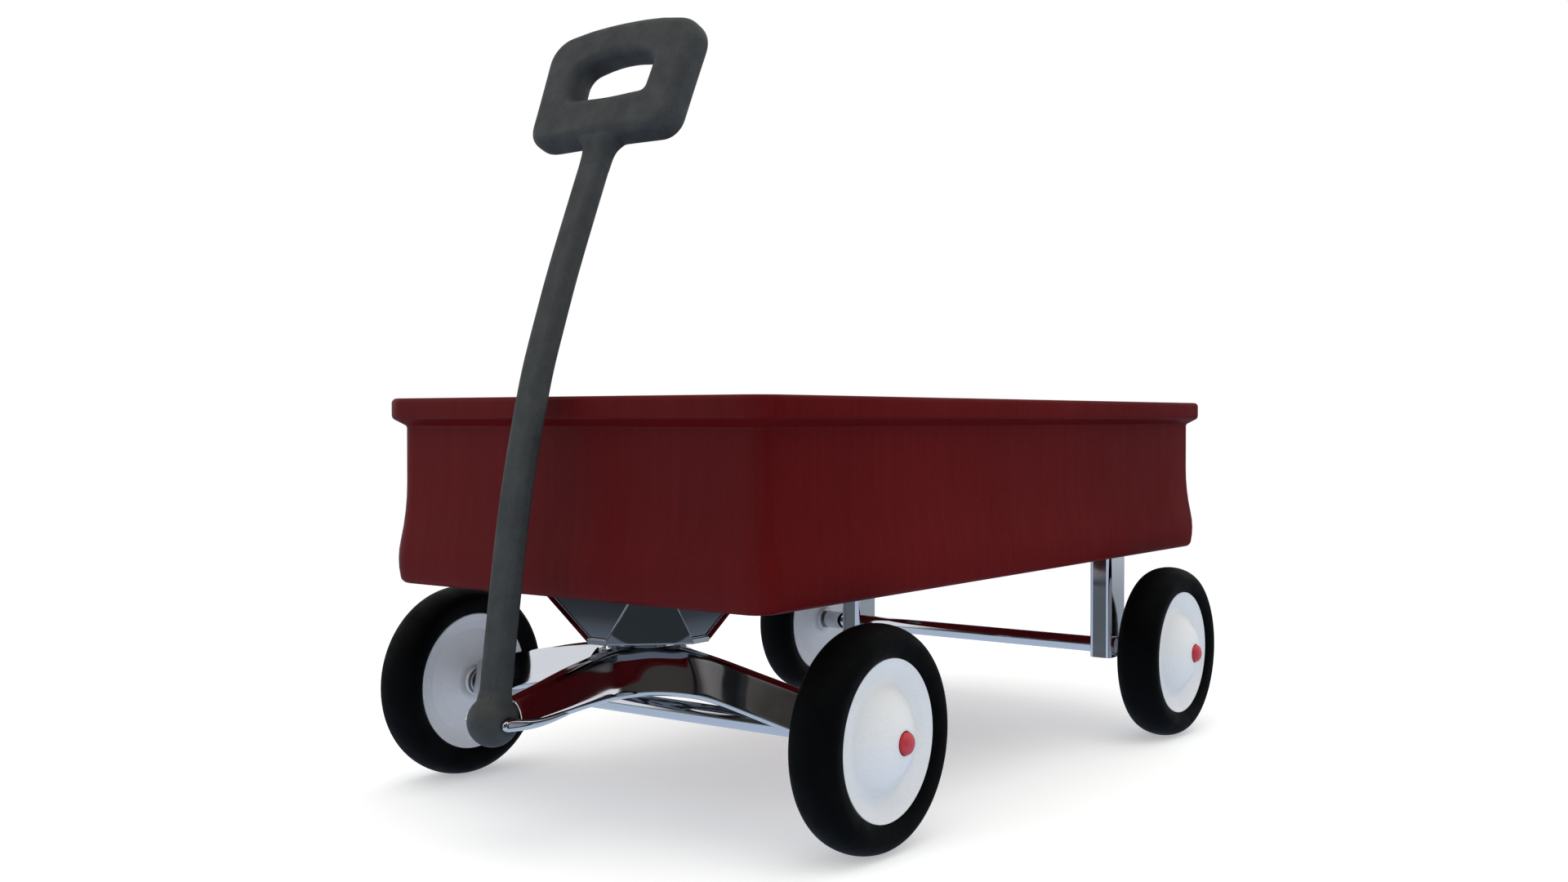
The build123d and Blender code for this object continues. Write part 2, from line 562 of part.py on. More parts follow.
def wheel_parts():
    side = [(70.0, 17.2), (71.2, 19.4), (76.5, 22.9), (84.0, 24.0), (90.8, 20.9), (95.8, 12.8), (TYRE_R, 0.0),
            (95.8, -12.8), (90.8, -20.9), (84.0, -24.0), (76.5, -22.9), (71.2, -19.4), (70.0, -17.2)]
    tyre = revolve_y([Spline(*side), Line((70.0, -17.2), (RIM_R, -13.6)), Line((RIM_R, -13.6), (RIM_R, 14.1)),
                      Line((RIM_R, 14.1), (70.0, 17.2))])
    rim = ring_poly([(63.4, -13.0), (RIM_R, -13.4), (RIM_R, 14.0), (63.4, 13.3)])
    # outer disc: sloping annulus, soft valley and a domed centre
    ro = 10.4
    yo = DOME_C + sqrt(DOME_R ** 2 - ro ** 2)
    rm = 32.0
    ym = DOME_C + sqrt(DOME_R ** 2 - rm ** 2)
    r2 = 45.5
    y2 = DOME_C + sqrt(DOME_R ** 2 - r2 ** 2)
    yo_i = DOME_C + sqrt((DOME_R - DISC_T) ** 2 - ro ** 2)
    ym_i = DOME_C + sqrt((DOME_R - DISC_T) ** 2 - rm ** 2)
    r2i = 44.6
    y2i = DOME_C + sqrt((DOME_R - DISC_T) ** 2 - r2i ** 2)
    disc = revolve_y([
        ThreePointArc((ro, yo), (rm, ym), (r2, y2)),
        Spline((r2, y2), (50.0, 11.2), (56.0, 12.2), tangents=[(r2, -(y2 - DOME_C)), (20.0, 8.6)]),
        Line((56.0, 12.2), (66.5, 16.9)),
        ThreePointArc((66.5, 16.9), (69.2, 18.9), (69.85, 17.4)),
        Line((69.85, 17.4), (66.6, 14.9)),
        Line((66.6, 14.9), (56.4, 10.5)),
        Spline((56.4, 10.5), (50.0, 9.5), (r2i, y2i), tangents=[(-20.0, -8.6), (-r2i, (y2i - DOME_C))]),
        ThreePointArc((r2i, y2i), (rm, ym_i), (ro, yo_i)),
        Line((ro, yo_i), (ro, yo)),
    ])
    # inner disc: shallow dish running out to the hub
    t = DISC_T
    inner = ring_poly([(HUB_R, -17.6), (24.0, -15.0), (54.0, -12.4), (63.0, -14.6), (69.85, -17.6), (69.2, -18.6),
                       (62.4, -16.3), (54.0, -14.1), (24.0, -16.7), (HUB_R, -19.3)])
    hub = tube_y(HUB_R, HUB_BORE_R, HUB_IN, HUB_OUT)
    bushes = [tube_y(HUB_BORE_R, BUSH_R, HUB_IN, -6.0), tube_y(HUB_BORE_R, BUSH_R, 10.0, 24.6)]
    return {"tyre": tyre, "rim": rim, "outer_disc": disc, "inner_disc": inner, "hub": hub, "bushes": bushes}


wp = wheel_parts()
for tag, x, s in (("front_left", X_FRONT, 1), ("front_right", X_FRONT, -1), ("rear_left", X_REAR, 1), ("rear_right", X_REAR, -1)):
    loc = Pos(x, s * TRACK_Y, AXLE_Z) * (Rot(0, 0, 0 if s > 0 else 180))
    for part_name, shp in wp.items():
        node = f"{part_name}_{tag}"
        if isinstance(shp, list):
            put(node, [loc * q for q in shp])
        else:
            put(node, loc * shp)

for name, shape in NODES.items():
    export_step(shape, f"parts/{name}.step")
print(len(NODES), "nodes")
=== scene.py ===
import bpy
import bmesh
import json
import math
import numpy as np
from mathutils import Vector, Matrix


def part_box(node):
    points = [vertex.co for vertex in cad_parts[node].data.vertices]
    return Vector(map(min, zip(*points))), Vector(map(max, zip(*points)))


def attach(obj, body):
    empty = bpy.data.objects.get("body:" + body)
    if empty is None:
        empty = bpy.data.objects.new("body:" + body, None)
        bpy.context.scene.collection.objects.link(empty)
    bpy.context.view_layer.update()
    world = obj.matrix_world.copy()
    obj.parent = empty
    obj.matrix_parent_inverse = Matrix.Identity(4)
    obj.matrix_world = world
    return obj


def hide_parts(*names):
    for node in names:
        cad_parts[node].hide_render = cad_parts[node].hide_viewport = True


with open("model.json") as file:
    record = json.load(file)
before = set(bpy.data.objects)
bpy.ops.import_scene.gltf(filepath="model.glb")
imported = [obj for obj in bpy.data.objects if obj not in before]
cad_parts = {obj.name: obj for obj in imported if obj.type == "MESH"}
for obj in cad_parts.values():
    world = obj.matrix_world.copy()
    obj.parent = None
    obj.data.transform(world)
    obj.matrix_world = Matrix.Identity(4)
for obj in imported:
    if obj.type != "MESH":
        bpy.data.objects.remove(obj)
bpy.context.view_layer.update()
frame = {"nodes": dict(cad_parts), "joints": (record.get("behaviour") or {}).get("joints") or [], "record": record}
MM = 0.001
joints = {j["name"]: j for j in frame["joints"]}

# ------------------------------------------------------------ places, from CAD
XF = joints["steering"]["pos_m"][0]
XR = joints["wheel_rl_spin"]["pos_m"][0]
AZ = joints["wheel_rl_spin"]["pos_m"][2]
TRACK = abs(joints["wheel_rl_spin"]["pos_m"][1])
BALL = Vector(joints["handle_pivot"]["pos_m"])
t_lo, t_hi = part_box("tub")
XFm, XRm, AZm, TRm = XF / MM, XR / MM, AZ / MM, TRACK / MM


# ==================================================================== materials
def new_mat(name):
    m = bpy.data.materials.new(name)
    m.use_nodes = True
    nt = m.node_tree
    for n in list(nt.nodes):
        nt.nodes.remove(n)
    return m, nt


class N:
    """Small helper for building node trees."""

    def __init__(self, nt):
        self.nt = nt

    def add(self, kind, **kw):
        n = self.nt.nodes.new(kind)
        for k, v in kw.items():
            setattr(n, k, v)
        return n

    def link(self, a, b):
        self.nt.links.new(a, b)

    def val(self, node, name, v):
        node.inputs[name].default_value = v

    def coords(self):
        return self.add("ShaderNodeTexCoord").outputs["Object"]

    def mapping(self, vec, scale=(1, 1, 1), loc=(0, 0, 0), rot=(0, 0, 0)):
        m = self.add("ShaderNodeMapping")
        m.inputs["Scale"].default_value = scale
        m.inputs["Location"].default_value = loc
        m.inputs["Rotation"].default_value = rot
        self.link(vec, m.inputs["Vector"])
        return m.outputs["Vector"]

    def noise(self, vec, scale, detail=4.0, rough=0.55, dist=0.0):
        n = self.add("ShaderNodeTexNoise")
        n.inputs["Scale"].default_value = scale
        n.inputs["Detail"].default_value = detail
        n.inputs["Roughness"].default_value = rough
        n.inputs["Distortion"].default_value = dist
        self.link(vec, n.inputs["Vector"])
        return n.outputs["Fac"]

    def voronoi(self, vec, scale, feature="F1"):
        n = self.add("ShaderNodeTexVoronoi")
        n.feature = feature
        n.inputs["Scale"].default_value = scale
        self.link(vec, n.inputs["Vector"])
        return n.outputs["Distance"]

    def ramp(self, fac, stops):
        r = self.add("ShaderNodeValToRGB")
        el = r.color_ramp.elements
        while len(el) > 1:
            el.remove(el[-1])
        el[0].position = stops[0][0]
        el[0].color = tuple(stops[0][1]) + (1.0,) if len(stops[0][1]) == 3 else stops[0][1]
        for p, c in stops[1:]:
            e = el.new(p)
            e.color = tuple(c) + (1.0,) if len(c) == 3 else c
        self.link(fac, r.inputs["Fac"])
        return r.outputs["Color"]

    def mrange(self, fac, a0, a1, b0, b1):
        r = self.add("ShaderNodeMapRange")
        for k, v in (("From Min", a0), ("From Max", a1), ("To Min", b0), ("To Max", b1)):
            r.inputs[k].default_value = v
        self.link(fac, r.inputs["Value"])
        return r.outputs["Result"]

    def math(self, op, a, b=None):
        m = self.add("ShaderNodeMath", operation=op)
        for i, x in enumerate((a, b)):
            if x is None:
                continue
            if isinstance(x, (int, float)):
                m.inputs[i].default_value = x
            else:
                self.link(x, m.inputs[i])
        return m.outputs[0]

    def mix(self, fac, a, b, blend="MIX"):
        m = self.add("ShaderNodeMix", data_type="RGBA", blend_type=blend)
        if isinstance(fac, (int, float)):
            m.inputs[0].default_value = fac
        else:
            self.link(fac, m.inputs[0])
        for sock, x in ((m.inputs[6], a), (m.inputs[7], b)):
            if isinstance(x, tuple):
                sock.default_value = x + (1.0,) if len(x) == 3 else x
            else:
                self.link(x, sock)
        return m.outputs[2]

    def bump(self, height, strength, distance, normal=None):
        b = self.add("ShaderNodeBump")
        b.inputs["Strength"].default_value = strength
        b.inputs["Distance"].default_value = distance
        self.link(height, b.inputs["Height"])
        if normal is not None:
            self.link(normal, b.inputs["Normal"])
        return b.outputs["Normal"]

    def principled(self, **kw):
        p = self.add("ShaderNodeBsdfPrincipled")
        for k, v in kw.items():
            s = p.inputs[k.replace("_", " ")]
            if isinstance(v, (int, float)):
                s.default_value = v
            elif isinstance(v, tuple):
                s.default_value = v + (1.0,) if len(v) == 3 and s.type == "RGBA" else v
            else:
                self.link(v, s)
        o = self.add("ShaderNodeOutputMaterial")
        self.link(p.outputs[0], o.inputs["Surface"])
        return p

    def pointiness(self):
        return self.add("ShaderNodeNewGeometry").outputs["Pointiness"]


def red_paint():
    m, nt = new_mat("red_paint")
    n = N(nt)
    c = n.coords()
    big = n.noise(c, 2.6, 3.0)
    fine = n.noise(c, 900.0, 3.0, 0.6)
    # the enamel was sprayed in upright passes: a faint vertical streak
    streak = n.noise(n.mapping(c, (130.0, 130.0, 5.0)), 1.0, 3.0, 0.6)
    col = n.ramp(big, [(0.30, (0.083, 0.0048, 0.0054)), (0.70, (0.108, 0.0068, 0.0072))])
    grain = n.ramp(fine, [(0.30, (0.86, 0.86, 0.86)), (0.70, (1.14, 1.14, 1.14))])
    col = n.mix(1.0, col, grain, "MULTIPLY")
    st = n.ramp(streak, [(0.32, (0.93, 0.92, 0.92)), (0.68, (1.07, 1.05, 1.05))])
    col = n.mix(1.0, col, st, "MULTIPLY")
    # wear: dusty scuffs on exposed edges, a little lighter and rougher
    point = n.pointiness()
    edge = n.mrange(point, 0.515, 0.56, 0.0, 1.0)
    scr = n.mrange(n.noise(c, 60.0, 5.0, 0.7), 0.52, 0.70, 0.0, 1.0)
    wear = n.math("MULTIPLY", n.math("MULTIPLY", edge, scr), 0.35)
    col = n.mix(wear, col, (0.16, 0.045, 0.045))
    rough = n.mrange(n.noise(c, 14.0, 5.0, 0.6), 0.3, 0.7, 0.36, 0.50)
    rough = n.math("ADD", rough, n.math("MULTIPLY", wear, 0.3))
    peel = n.noise(c, 420.0, 2.0, 0.5)
    nb = n.bump(peel, 0.10, 0.0006)
    nb = n.bump(n.noise(c, 9.0, 2.0), 0.05, 0.004, nb)
    # look choice: less sheen on the long sides than on the ends
    geo = n.add("ShaderNodeNewGeometry")
    sx = n.add("ShaderNodeSeparateXYZ")
    nt.links.new(geo.outputs["Normal"], sx.inputs[0])
    ends = n.math("MULTIPLY", sx.outputs[0], sx.outputs[0])
    spec = n.mrange(ends, 0.2, 0.9, 0.012, 0.085)
    n.principled(Base_Color=col, Roughness=rough, Normal=nb, IOR=1.45, Specular_IOR_Level=spec)
    return m


def chrome(name="chrome", tint=(0.70, 0.71, 0.73), r0=0.035, r1=0.11, shaded_webs=False):
    m, nt = new_mat(name)
    n = N(nt)
    c = n.coords()
    smear = n.noise(c, 22.0, 6.0, 0.62, 0.4)
    rough = n.mrange(smear, 0.35, 0.72, r0, r1)
    hair = n.noise(n.mapping(c, (40.0, 40.0, 900.0)), 1.0, 2.0, 0.5)
    rough = n.math("ADD", rough, n.mrange(hair, 0.60, 0.75, 0.0, 0.03))
    dull = n.ramp(n.noise(c, 9.0, 4.0), [(0.3, tuple(0.94 * t for t in tint)), (0.7, tint)])
    pit = n.mrange(n.noise(c, 260.0, 2.0), 0.70, 0.78, 0.0, 0.35)
    col = n.mix(pit, dull, (0.34, 0.32, 0.30))
    if shaded_webs:
        # look choice: painted shade on the recessed webs between the legs, darkest up
        # under the tub; the webs are picked out by the lean of their faces
        geo = n.add("ShaderNodeNewGeometry")
        lean = n.add("ShaderNodeSeparateXYZ")
        nt.links.new(geo.outputs["True Normal"], lean.inputs[0])
        up = n.add("ShaderNodeSeparateXYZ")
        nt.links.new(c, up.inputs[0])
        web = n.math("MULTIPLY", n.mrange(lean.outputs[2], -0.42, -0.34, 0.0, 1.0), n.mrange(lean.outputs[2], -0.20, -0.12, 1.0, 0.0))
        # painted shade: the webs' colour darkens towards the tub's underside
        painted_web_shade = n.ramp(n.mrange(up.outputs[2], 0.168, 0.208, 0.0, 1.0), [(0.0, (0.150, 0.158, 0.165)), (0.35, (0.095, 0.094, 0.094)), (0.55, (0.052, 0.050, 0.049)), (1.0, (0.030, 0.029, 0.029))])
        col = n.mix(web, col, painted_web_shade)
    nb = n.bump(n.noise(c, 35.0, 2.0), 0.03, 0.0008)
    n.principled(Base_Color=col, Metallic=1.0, Roughness=rough, Normal=nb)
    return m


def zinc():
    m, nt = new_mat("zinc_steel")
    n = N(nt)
    c = n.coords()
    spang = n.noise(c, 240.0, 4.0, 0.6)
    col = n.ramp(spang, [(0.3, (0.42, 0.43, 0.44)), (0.7, (0.62, 0.63, 0.64))])
    rough = n.mrange(n.noise(c, 90.0, 4.0), 0.3, 0.7, 0.26, 0.46)
    nb = n.bump(n.noise(c, 600.0, 2.0), 0.12, 0.0003)
    n.principled(Base_Color=col, Metallic=1.0, Roughness=rough, Normal=nb)
    return m


def enamel():
    m, nt = new_mat("white_enamel")
    n = N(nt)
    c = n.coords()
    fine = n.noise(c, 700.0, 3.0, 0.65)
    soft = n.noise(c, 11.0, 4.0, 0.55)
    col = n.ramp(soft, [(0.30, (0.735, 0.738, 0.735)), (0.72, (0.80, 0.80, 0.79))])
    speck = n.ramp(fine, [(0.30, (0.93, 0.93, 0.93)), (0.68, (1.04, 1.04, 1.04))])
    col = n.mix(1.0, col, speck, "MULTIPLY")
    # road dust gathers in the valley and against the rubber
    point = n.pointiness()
    dirt = n.mrange(point, 0.44, 0.49, 1.0, 0.0)
    dirt = n.math("MULTIPLY", dirt, n.mrange(n.noise(c, 45.0, 5.0, 0.6), 0.35, 0.7, 0.10, 0.55))
    col = n.mix(dirt, col, (0.44, 0.42, 0.39))
    rough = n.mrange(n.noise(c, 30.0, 4.0), 0.3, 0.7, 0.34, 0.48)
    nb = n.bump(fine, 0.10, 0.0004)
    n.principled(Base_Color=col, Roughness=rough, Normal=nb, Specular_IOR_Level=0.4, Coat_Weight=0.12, Coat_Roughness=0.25)
    return m


def rubber():
    m, nt = new_mat("tyre_rubber")
    n = N(nt)
    c = n.coords()
    mott = n.noise(c, 28.0, 5.0, 0.6)
    col = n.ramp(mott, [(0.3, (0.0008, 0.0010, 0.0012)), (0.75, (0.0022, 0.0025, 0.0028))])
    dust = n.mrange(n.noise(c, 70.0, 6.0, 0.7), 0.60, 0.85, 0.0, 0.06)
    col = n.mix(dust, col, (0.06, 0.058, 0.054))
    rough = n.mrange(n.noise(c, 50.0, 4.0), 0.3, 0.7, 0.55, 0.72)
    nb = n.bump(n.noise(c, 900.0, 2.0), 0.10, 0.0003)
    n.principled(Base_Color=col, Roughness=rough, Normal=nb, Specular_IOR_Level=0.05)
    return m


def grey_plastic(name="grey_plastic", seed=0.0):
    m, nt = new_mat(name)
    n = N(nt)
    c = n.mapping(n.coords(), (1, 1, 1), (seed, seed * 0.7, 0))
    blotch = n.noise(c, 38.0, 6.0, 0.62, 0.3)
    col = n.ramp(blotch, [(0.28, (0.026, 0.0285, 0.0285)), (0.52, (0.036, 0.039, 0.0385)), (0.78, (0.048, 0.051, 0.050))])
    fine = n.noise(c, 620.0, 3.0, 0.6)
    grain = n.ramp(fine, [(0.3, (0.88, 0.88, 0.88)), (0.7, (1.12, 1.12, 1.12))])
    col = n.mix(1.0, col, grain, "MULTIPLY")
    # darker handling marks
    mark = n.mrange(n.noise(c, 95.0, 5.0, 0.7, 0.8), 0.62, 0.74, 0.0, 0.45)
    col = n.mix(mark, col, (0.018, 0.019, 0.019))
    rough = n.mrange(n.noise(c, 60.0, 4.0), 0.3, 0.7, 0.55, 0.74)
    nb = n.bump(fine, 0.22, 0.0004)
    nb = n.bump(n.noise(c, 120.0, 3.0), 0.10, 0.0010, nb)
    n.principled(Base_Color=col, Roughness=rough, Normal=nb, Specular_IOR_Level=0.36)
    return m


def red_cap():
    m, nt = new_mat("red_caps")
    n = N(nt)
    c = n.coords()
    col = n.ramp(n.noise(c, 160.0, 4.0), [(0.3, (0.44, 0.022, 0.034)), (0.7, (0.54, 0.036, 0.050))])
    rough = n.mrange(n.noise(c, 120.0, 4.0), 0.3, 0.7, 0.28, 0.42)
    nb = n.bump(n.noise(c, 800.0, 2.0), 0.08, 0.0003)
    n.principled(Base_Color=col, Roughness=rough, Normal=nb, Subsurface_Weight=0.08,
                 Subsurface_Radius=(0.002, 0.0006, 0.0005))
    return m


def nylon():
    m, nt = new_mat("nylon")
    n = N(nt)
    c = n.coords()
    col = n.ramp(n.noise(c, 60.0, 4.0), [(0.3, (0.66, 0.64, 0.57)), (0.7, (0.74, 0.72, 0.66))])
    rough = n.mrange(n.noise(c, 90.0, 4.0), 0.3, 0.7, 0.40, 0.55)
    nb = n.bump(n.noise(c, 500.0, 2.0), 0.10, 0.0003)
    n.principled(Base_Color=col, Roughness=rough, Normal=nb)
    return m


MAT = {"red_paint": red_paint(), "chrome": chrome(), "zinc_steel": zinc(), "white_enamel": enamel(),
       "tyre_rubber": rubber(), "grey_plastic": grey_plastic(), "red_caps": red_cap(), "nylon": nylon()}
SLOT = {s["node"]: s["material_slot"] for s in frame["record"]["subparts"]}


# ================================================================== mesh helpers
def make_obj(name, verts, faces, slot, body, replaces=(), smooth=True, scale=MM):
    me = bpy.data.meshes.new(name)
    me.from_pydata([tuple(float(q) * scale for q in v) for v in verts], [], [tuple(int(i) for i in f) for f in faces])
    me.validate(clean_customdata=False)
    me.update()
    bm = bmesh.new()
    bm.from_mesh(me)
    bmesh.ops.remove_doubles(bm, verts=bm.verts, dist=2e-6)
    bmesh.ops.dissolve_degenerate(bm, edges=bm.edges, dist=1e-7)
    bmesh.ops.recalc_face_normals(bm, faces=bm.faces)
    bm.to_mesh(me)
    bm.free()
    ob = bpy.data.objects.new(name, me)
    bpy.context.scene.collection.objects.link(ob)
    me.materials.append(MAT[slot])
    if smooth:
        for p in me.polygons:
            p.use_smooth = True
    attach(ob, body)
    if replaces:
        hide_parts(*replaces)
    return ob


def sharp_by_angle(ob, deg=35.0):
    """Smooth shading that keeps real corners crisp."""
    me = ob.data
    bm = bmesh.new()
    bm.from_mesh(me)
    lim = math.radians(deg)
    for e in bm.edges:
        e.smooth = not (len(e.link_faces) == 2 and e.calc_face_angle(0.0) > lim)
    bm.to_mesh(me)
    bm.free()
    return ob


def add_subsurf(ob, lv=1):
    s = ob.modifiers.new("subsurf", "SUBSURF")
    s.levels = s.render_levels = lv
    return ob


def catmull(pts, per=8, closed=False):
    """Catmull-Rom through points (centripetal-like), list of np arrays."""
    P = [np.asarray(p, float) for p in pts]
    n = len(P)
    out = []
    rng = range(n if closed else n - 1)
    for i in rng:
        if closed:
            p0, p1, p2, p3 = P[(i - 1) % n], P[i], P[(i + 1) % n], P[(i + 2) % n]
        else:
            p1, p2 = P[i], P[i + 1]
            p0 = P[i - 1] if i > 0 else 2 * p1 - p2
            p3 = P[i + 2] if i + 2 < n else 2 * p2 - p1
        for k in range(per):
            t = k / per
            out.append(0.5 * ((2 * p1) + (p2 - p0) * t + (2 * p0 - 5 * p1 + 4 * p2 - p3) * t * t
                              + (3 * p1 - p0 - 3 * p2 + p3) * t ** 3))
    if not closed:
        out.append(P[-1])
    return out


def lathe(profile, seg, closed=True):
    """Revolves (r, y) about the Y axis; returns verts, faces. r = 0 ends are poles."""
    verts, faces, rings = [], [], []
    for r, y in profile:
        if r < 1e-9:
            rings.append([len(verts)])
            verts.append((0.0, y, 0.0))
        else:
            idx = []
            for k in range(seg):
                a = 2 * math.pi * k / seg
                idx.append(len(verts))
                verts.append((r * math.cos(a), y, r * math.sin(a)))
            rings.append(idx)
    m = len(rings)
    for i in range(m if closed else m - 1):
        A, B = rings[i], rings[(i + 1) % m]
        if len(A) == 1 and len(B) == 1:
            continue
        for k in range(seg):
            k2 = (k + 1) % seg
            if len(A) == 1:
                faces.append((A[0], B[k], B[k2]))
            elif len(B) == 1:
                faces.append((A[k], B[0], A[k2]))
            else:
                faces.append((A[k], B[k], B[k2], A[k2]))
    return verts, faces


def place(verts, x=0.0, y=0.0, z=0.0, flip=False):
    out = []
    for vx, vy, vz in verts:
        if flip:
            vx, vy = -vx, -vy
        out.append((vx + x, vy + y, vz + z))
    return out


def arc_pts(cx, cy, r, a0, a1, n):
    return [(cx + r * math.cos(math.radians(a0 + (a1 - a0) * i / n)),
             cy + r * math.sin(math.radians(a0 + (a1 - a0) * i / n))) for i in range(n + 1)]


def round_poly(pts, radii, n=5, closed=True):
    """Polygon with its corners rounded: 2-D points and one radius each."""
    out = []
    m = len(pts)
    for i in range(m):
        p = np.array(pts[i], float)
        r = radii[i] if isinstance(radii, (list, tuple)) else radii
        if (not closed and i in (0, m - 1)) or r <= 0:
            out.append(tuple(p))
            continue
        a, b = np.array(pts[i - 1], float), np.array(pts[(i + 1) % m], float)
        u, v = a - p, b - p
        lu, lv = np.linalg.norm(u), np.linalg.norm(v)
        u, v = u / lu, v / lv
        ang = math.acos(max(-1, min(1, float(u @ v))))
        if ang > math.pi - 1e-3:
            out.append(tuple(p))
            continue
        t = min(r / math.tan(ang / 2), 0.49 * lu, 0.49 * lv)
        rr = t * math.tan(ang / 2)
        bis = (u + v) / np.linalg.norm(u + v)
        c = p + bis * (rr / math.sin(ang / 2))
        s, e = p + u * t, p + v * t
        a0 = math.atan2(*(s - c)[::-1])
        a1 = math.atan2(*(e - c)[::-1])
        d = (a1 - a0 + math.pi) % (2 * math.pi) - math.pi
        for k in range(n + 1):
            aa = a0 + d * k / n
            out.append((c[0] + rr * math.cos(aa), c[1] + rr * math.sin(aa)))
    return out


# ========================================================================== tub
SHEET = 1.0
HX = ((t_hi.x - t_lo.x) / MM) / 2 - 14.45
HY = ((t_hi.y - t_lo.y) / MM) / 2 - 14.45
TCX = (t_hi.x + t_lo.x) / 2 / MM
TB, TT = t_lo.z / MM, t_hi.z / MM
CR = 17.0
CURL = 6.6
BENDS = [("L", 13.0), ("A", 7.5, 78.0), ("A", 85.0, 24.5), ("A", 261.0, -12.5)]


def run_turtle(start, moves, deg=7.0, length=16.0):
    x, z, a = start[0], start[1], 0.0
    out = [(x, z, a)]
    for m in moves:
        if m[0] == "L":
            k = max(1, math.ceil(m[1] / length))
            for i in range(1, k + 1):
                out.append((x + m[1] * i / k * math.cos(a), z + m[1] * i / k * math.sin(a), a))
        else:
            r, d = m[1], math.radians(m[2])
            s = 1.0 if d > 0 else -1.0
            k = max(1, math.ceil(max(abs(m[2]) / deg, abs(d) * r / length)))
            cx, cz = x - s * r * math.sin(a), z + s * r * math.cos(a)
            for i in range(1, k + 1):
                aa = a + d * i / k
                out.append((cx + s * r * math.sin(aa), cz - s * r * math.cos(aa), aa))
        x, z, a = out[-1]
    return out


e0 = run_turtle((-14.0, TB), BENDS)[-1]
skin_start = (-14.0 - e0[0], TB)
wall = run_turtle(skin_start, BENDS + [("L", TT - 29.0 - e0[1])])
skin = run_turtle(skin_start, BENDS + [("L", TT - 29.0 - e0[1]), ("A", 3.5, -62.0), ("L", 10.95), ("A", 5.5, 62.0)])
# the bead's outer face, its top, and the turn down into the tub
skin += [(14.45, TT - 10.5, math.pi / 2), (14.45, TT - 4.9, math.pi / 2)]
skin += [(9.55 + 4.9 * math.cos(q), TT - 4.9 + 4.9 * math.sin(q), 0.0) for q in np.radians(np.arange(9, 91, 9))]
skin += [(6.5, TT + 0.0, 0.0), (3.0, TT - 0.05, 0.0)]
skin += [(1.8 - 2.8 * math.sin(q), TT - 0.1 - 2.8 * (1 - math.cos(q)), 0.0) for q in np.radians(np.arange(0, 91, 15))]
NC = 12
half_x, half_y = HX - 32.0, HY - 32.0
ribs = [XFm - 118.0, XFm - 252.0, XFm - 386.0, XFm - 520.0]
xs = set()
for rx in ribs:
    for d in (-13, -9, -6.5, -4.2, -2.0, 0, 2.0, 4.2, 6.5, 9, 13):
        xs.add(round((rx + d - TCX) / half_x, 6))
for i in range(29):
    q = -1 + 2 * i / 28
    if min(abs(q - v) for v in xs) * half_x > 9:
        xs.add(q)
xs |= {-1.0, 1.0}
XS = sorted(xs)
YS = sorted({-1 + 2 * i / 16 for i in range(17)} | {-0.985, 0.985, -0.94, 0.94, -0.91, 0.91})


def plan_loop(hx, hy, r):
    """Rounded rectangle with the same point count at every size."""
    r = max(r, 0.0)
    ax, ay = hx - r, hy - r
    out = []
    for s in YS[:-1]:
        out.append((hx, s * ay))
    for k in range(NC):
        a = math.radians(90 * k / NC)
        out.append((ax + r * math.cos(a), ay + r * math.sin(a)))
    for s in reversed(XS[1:]):
        out.append((s * ax, hy))
    for k in range(NC):
        a = math.radians(90 + 90 * k / NC)
        out.append((-ax + r * math.cos(a), ay + r * math.sin(a)))
    for s in reversed(YS[1:]):
        out.append((-hx, s * ay))
    for k in range(NC):
        a = math.radians(180 + 90 * k / NC)
        out.append((-ax + r * math.cos(a), -ay + r * math.sin(a)))
    for s in XS[:-1]:
        out.append((s * ax, -hy))
    for k in range(NC):
        a = math.radians(270 + 90 * k / NC)
        out.append((ax + r * math.cos(a), -ay + r * math.sin(a)))
    return out


def rib_h(x, y):
    """Pressed cross ribs of the floor, fading out at the sides."""
    h = 0.0
    for rx in ribs:
        d = abs(x - rx)
        if d < 9.0:
            h += 1.5 * (1 + math.cos(math.pi * d / 9.0))
    f = min(1.0, max(0.0, (abs(y) - (HY - 36.0)) / 11.0))
    return h * (1 - f * f * (3 - 2 * f))


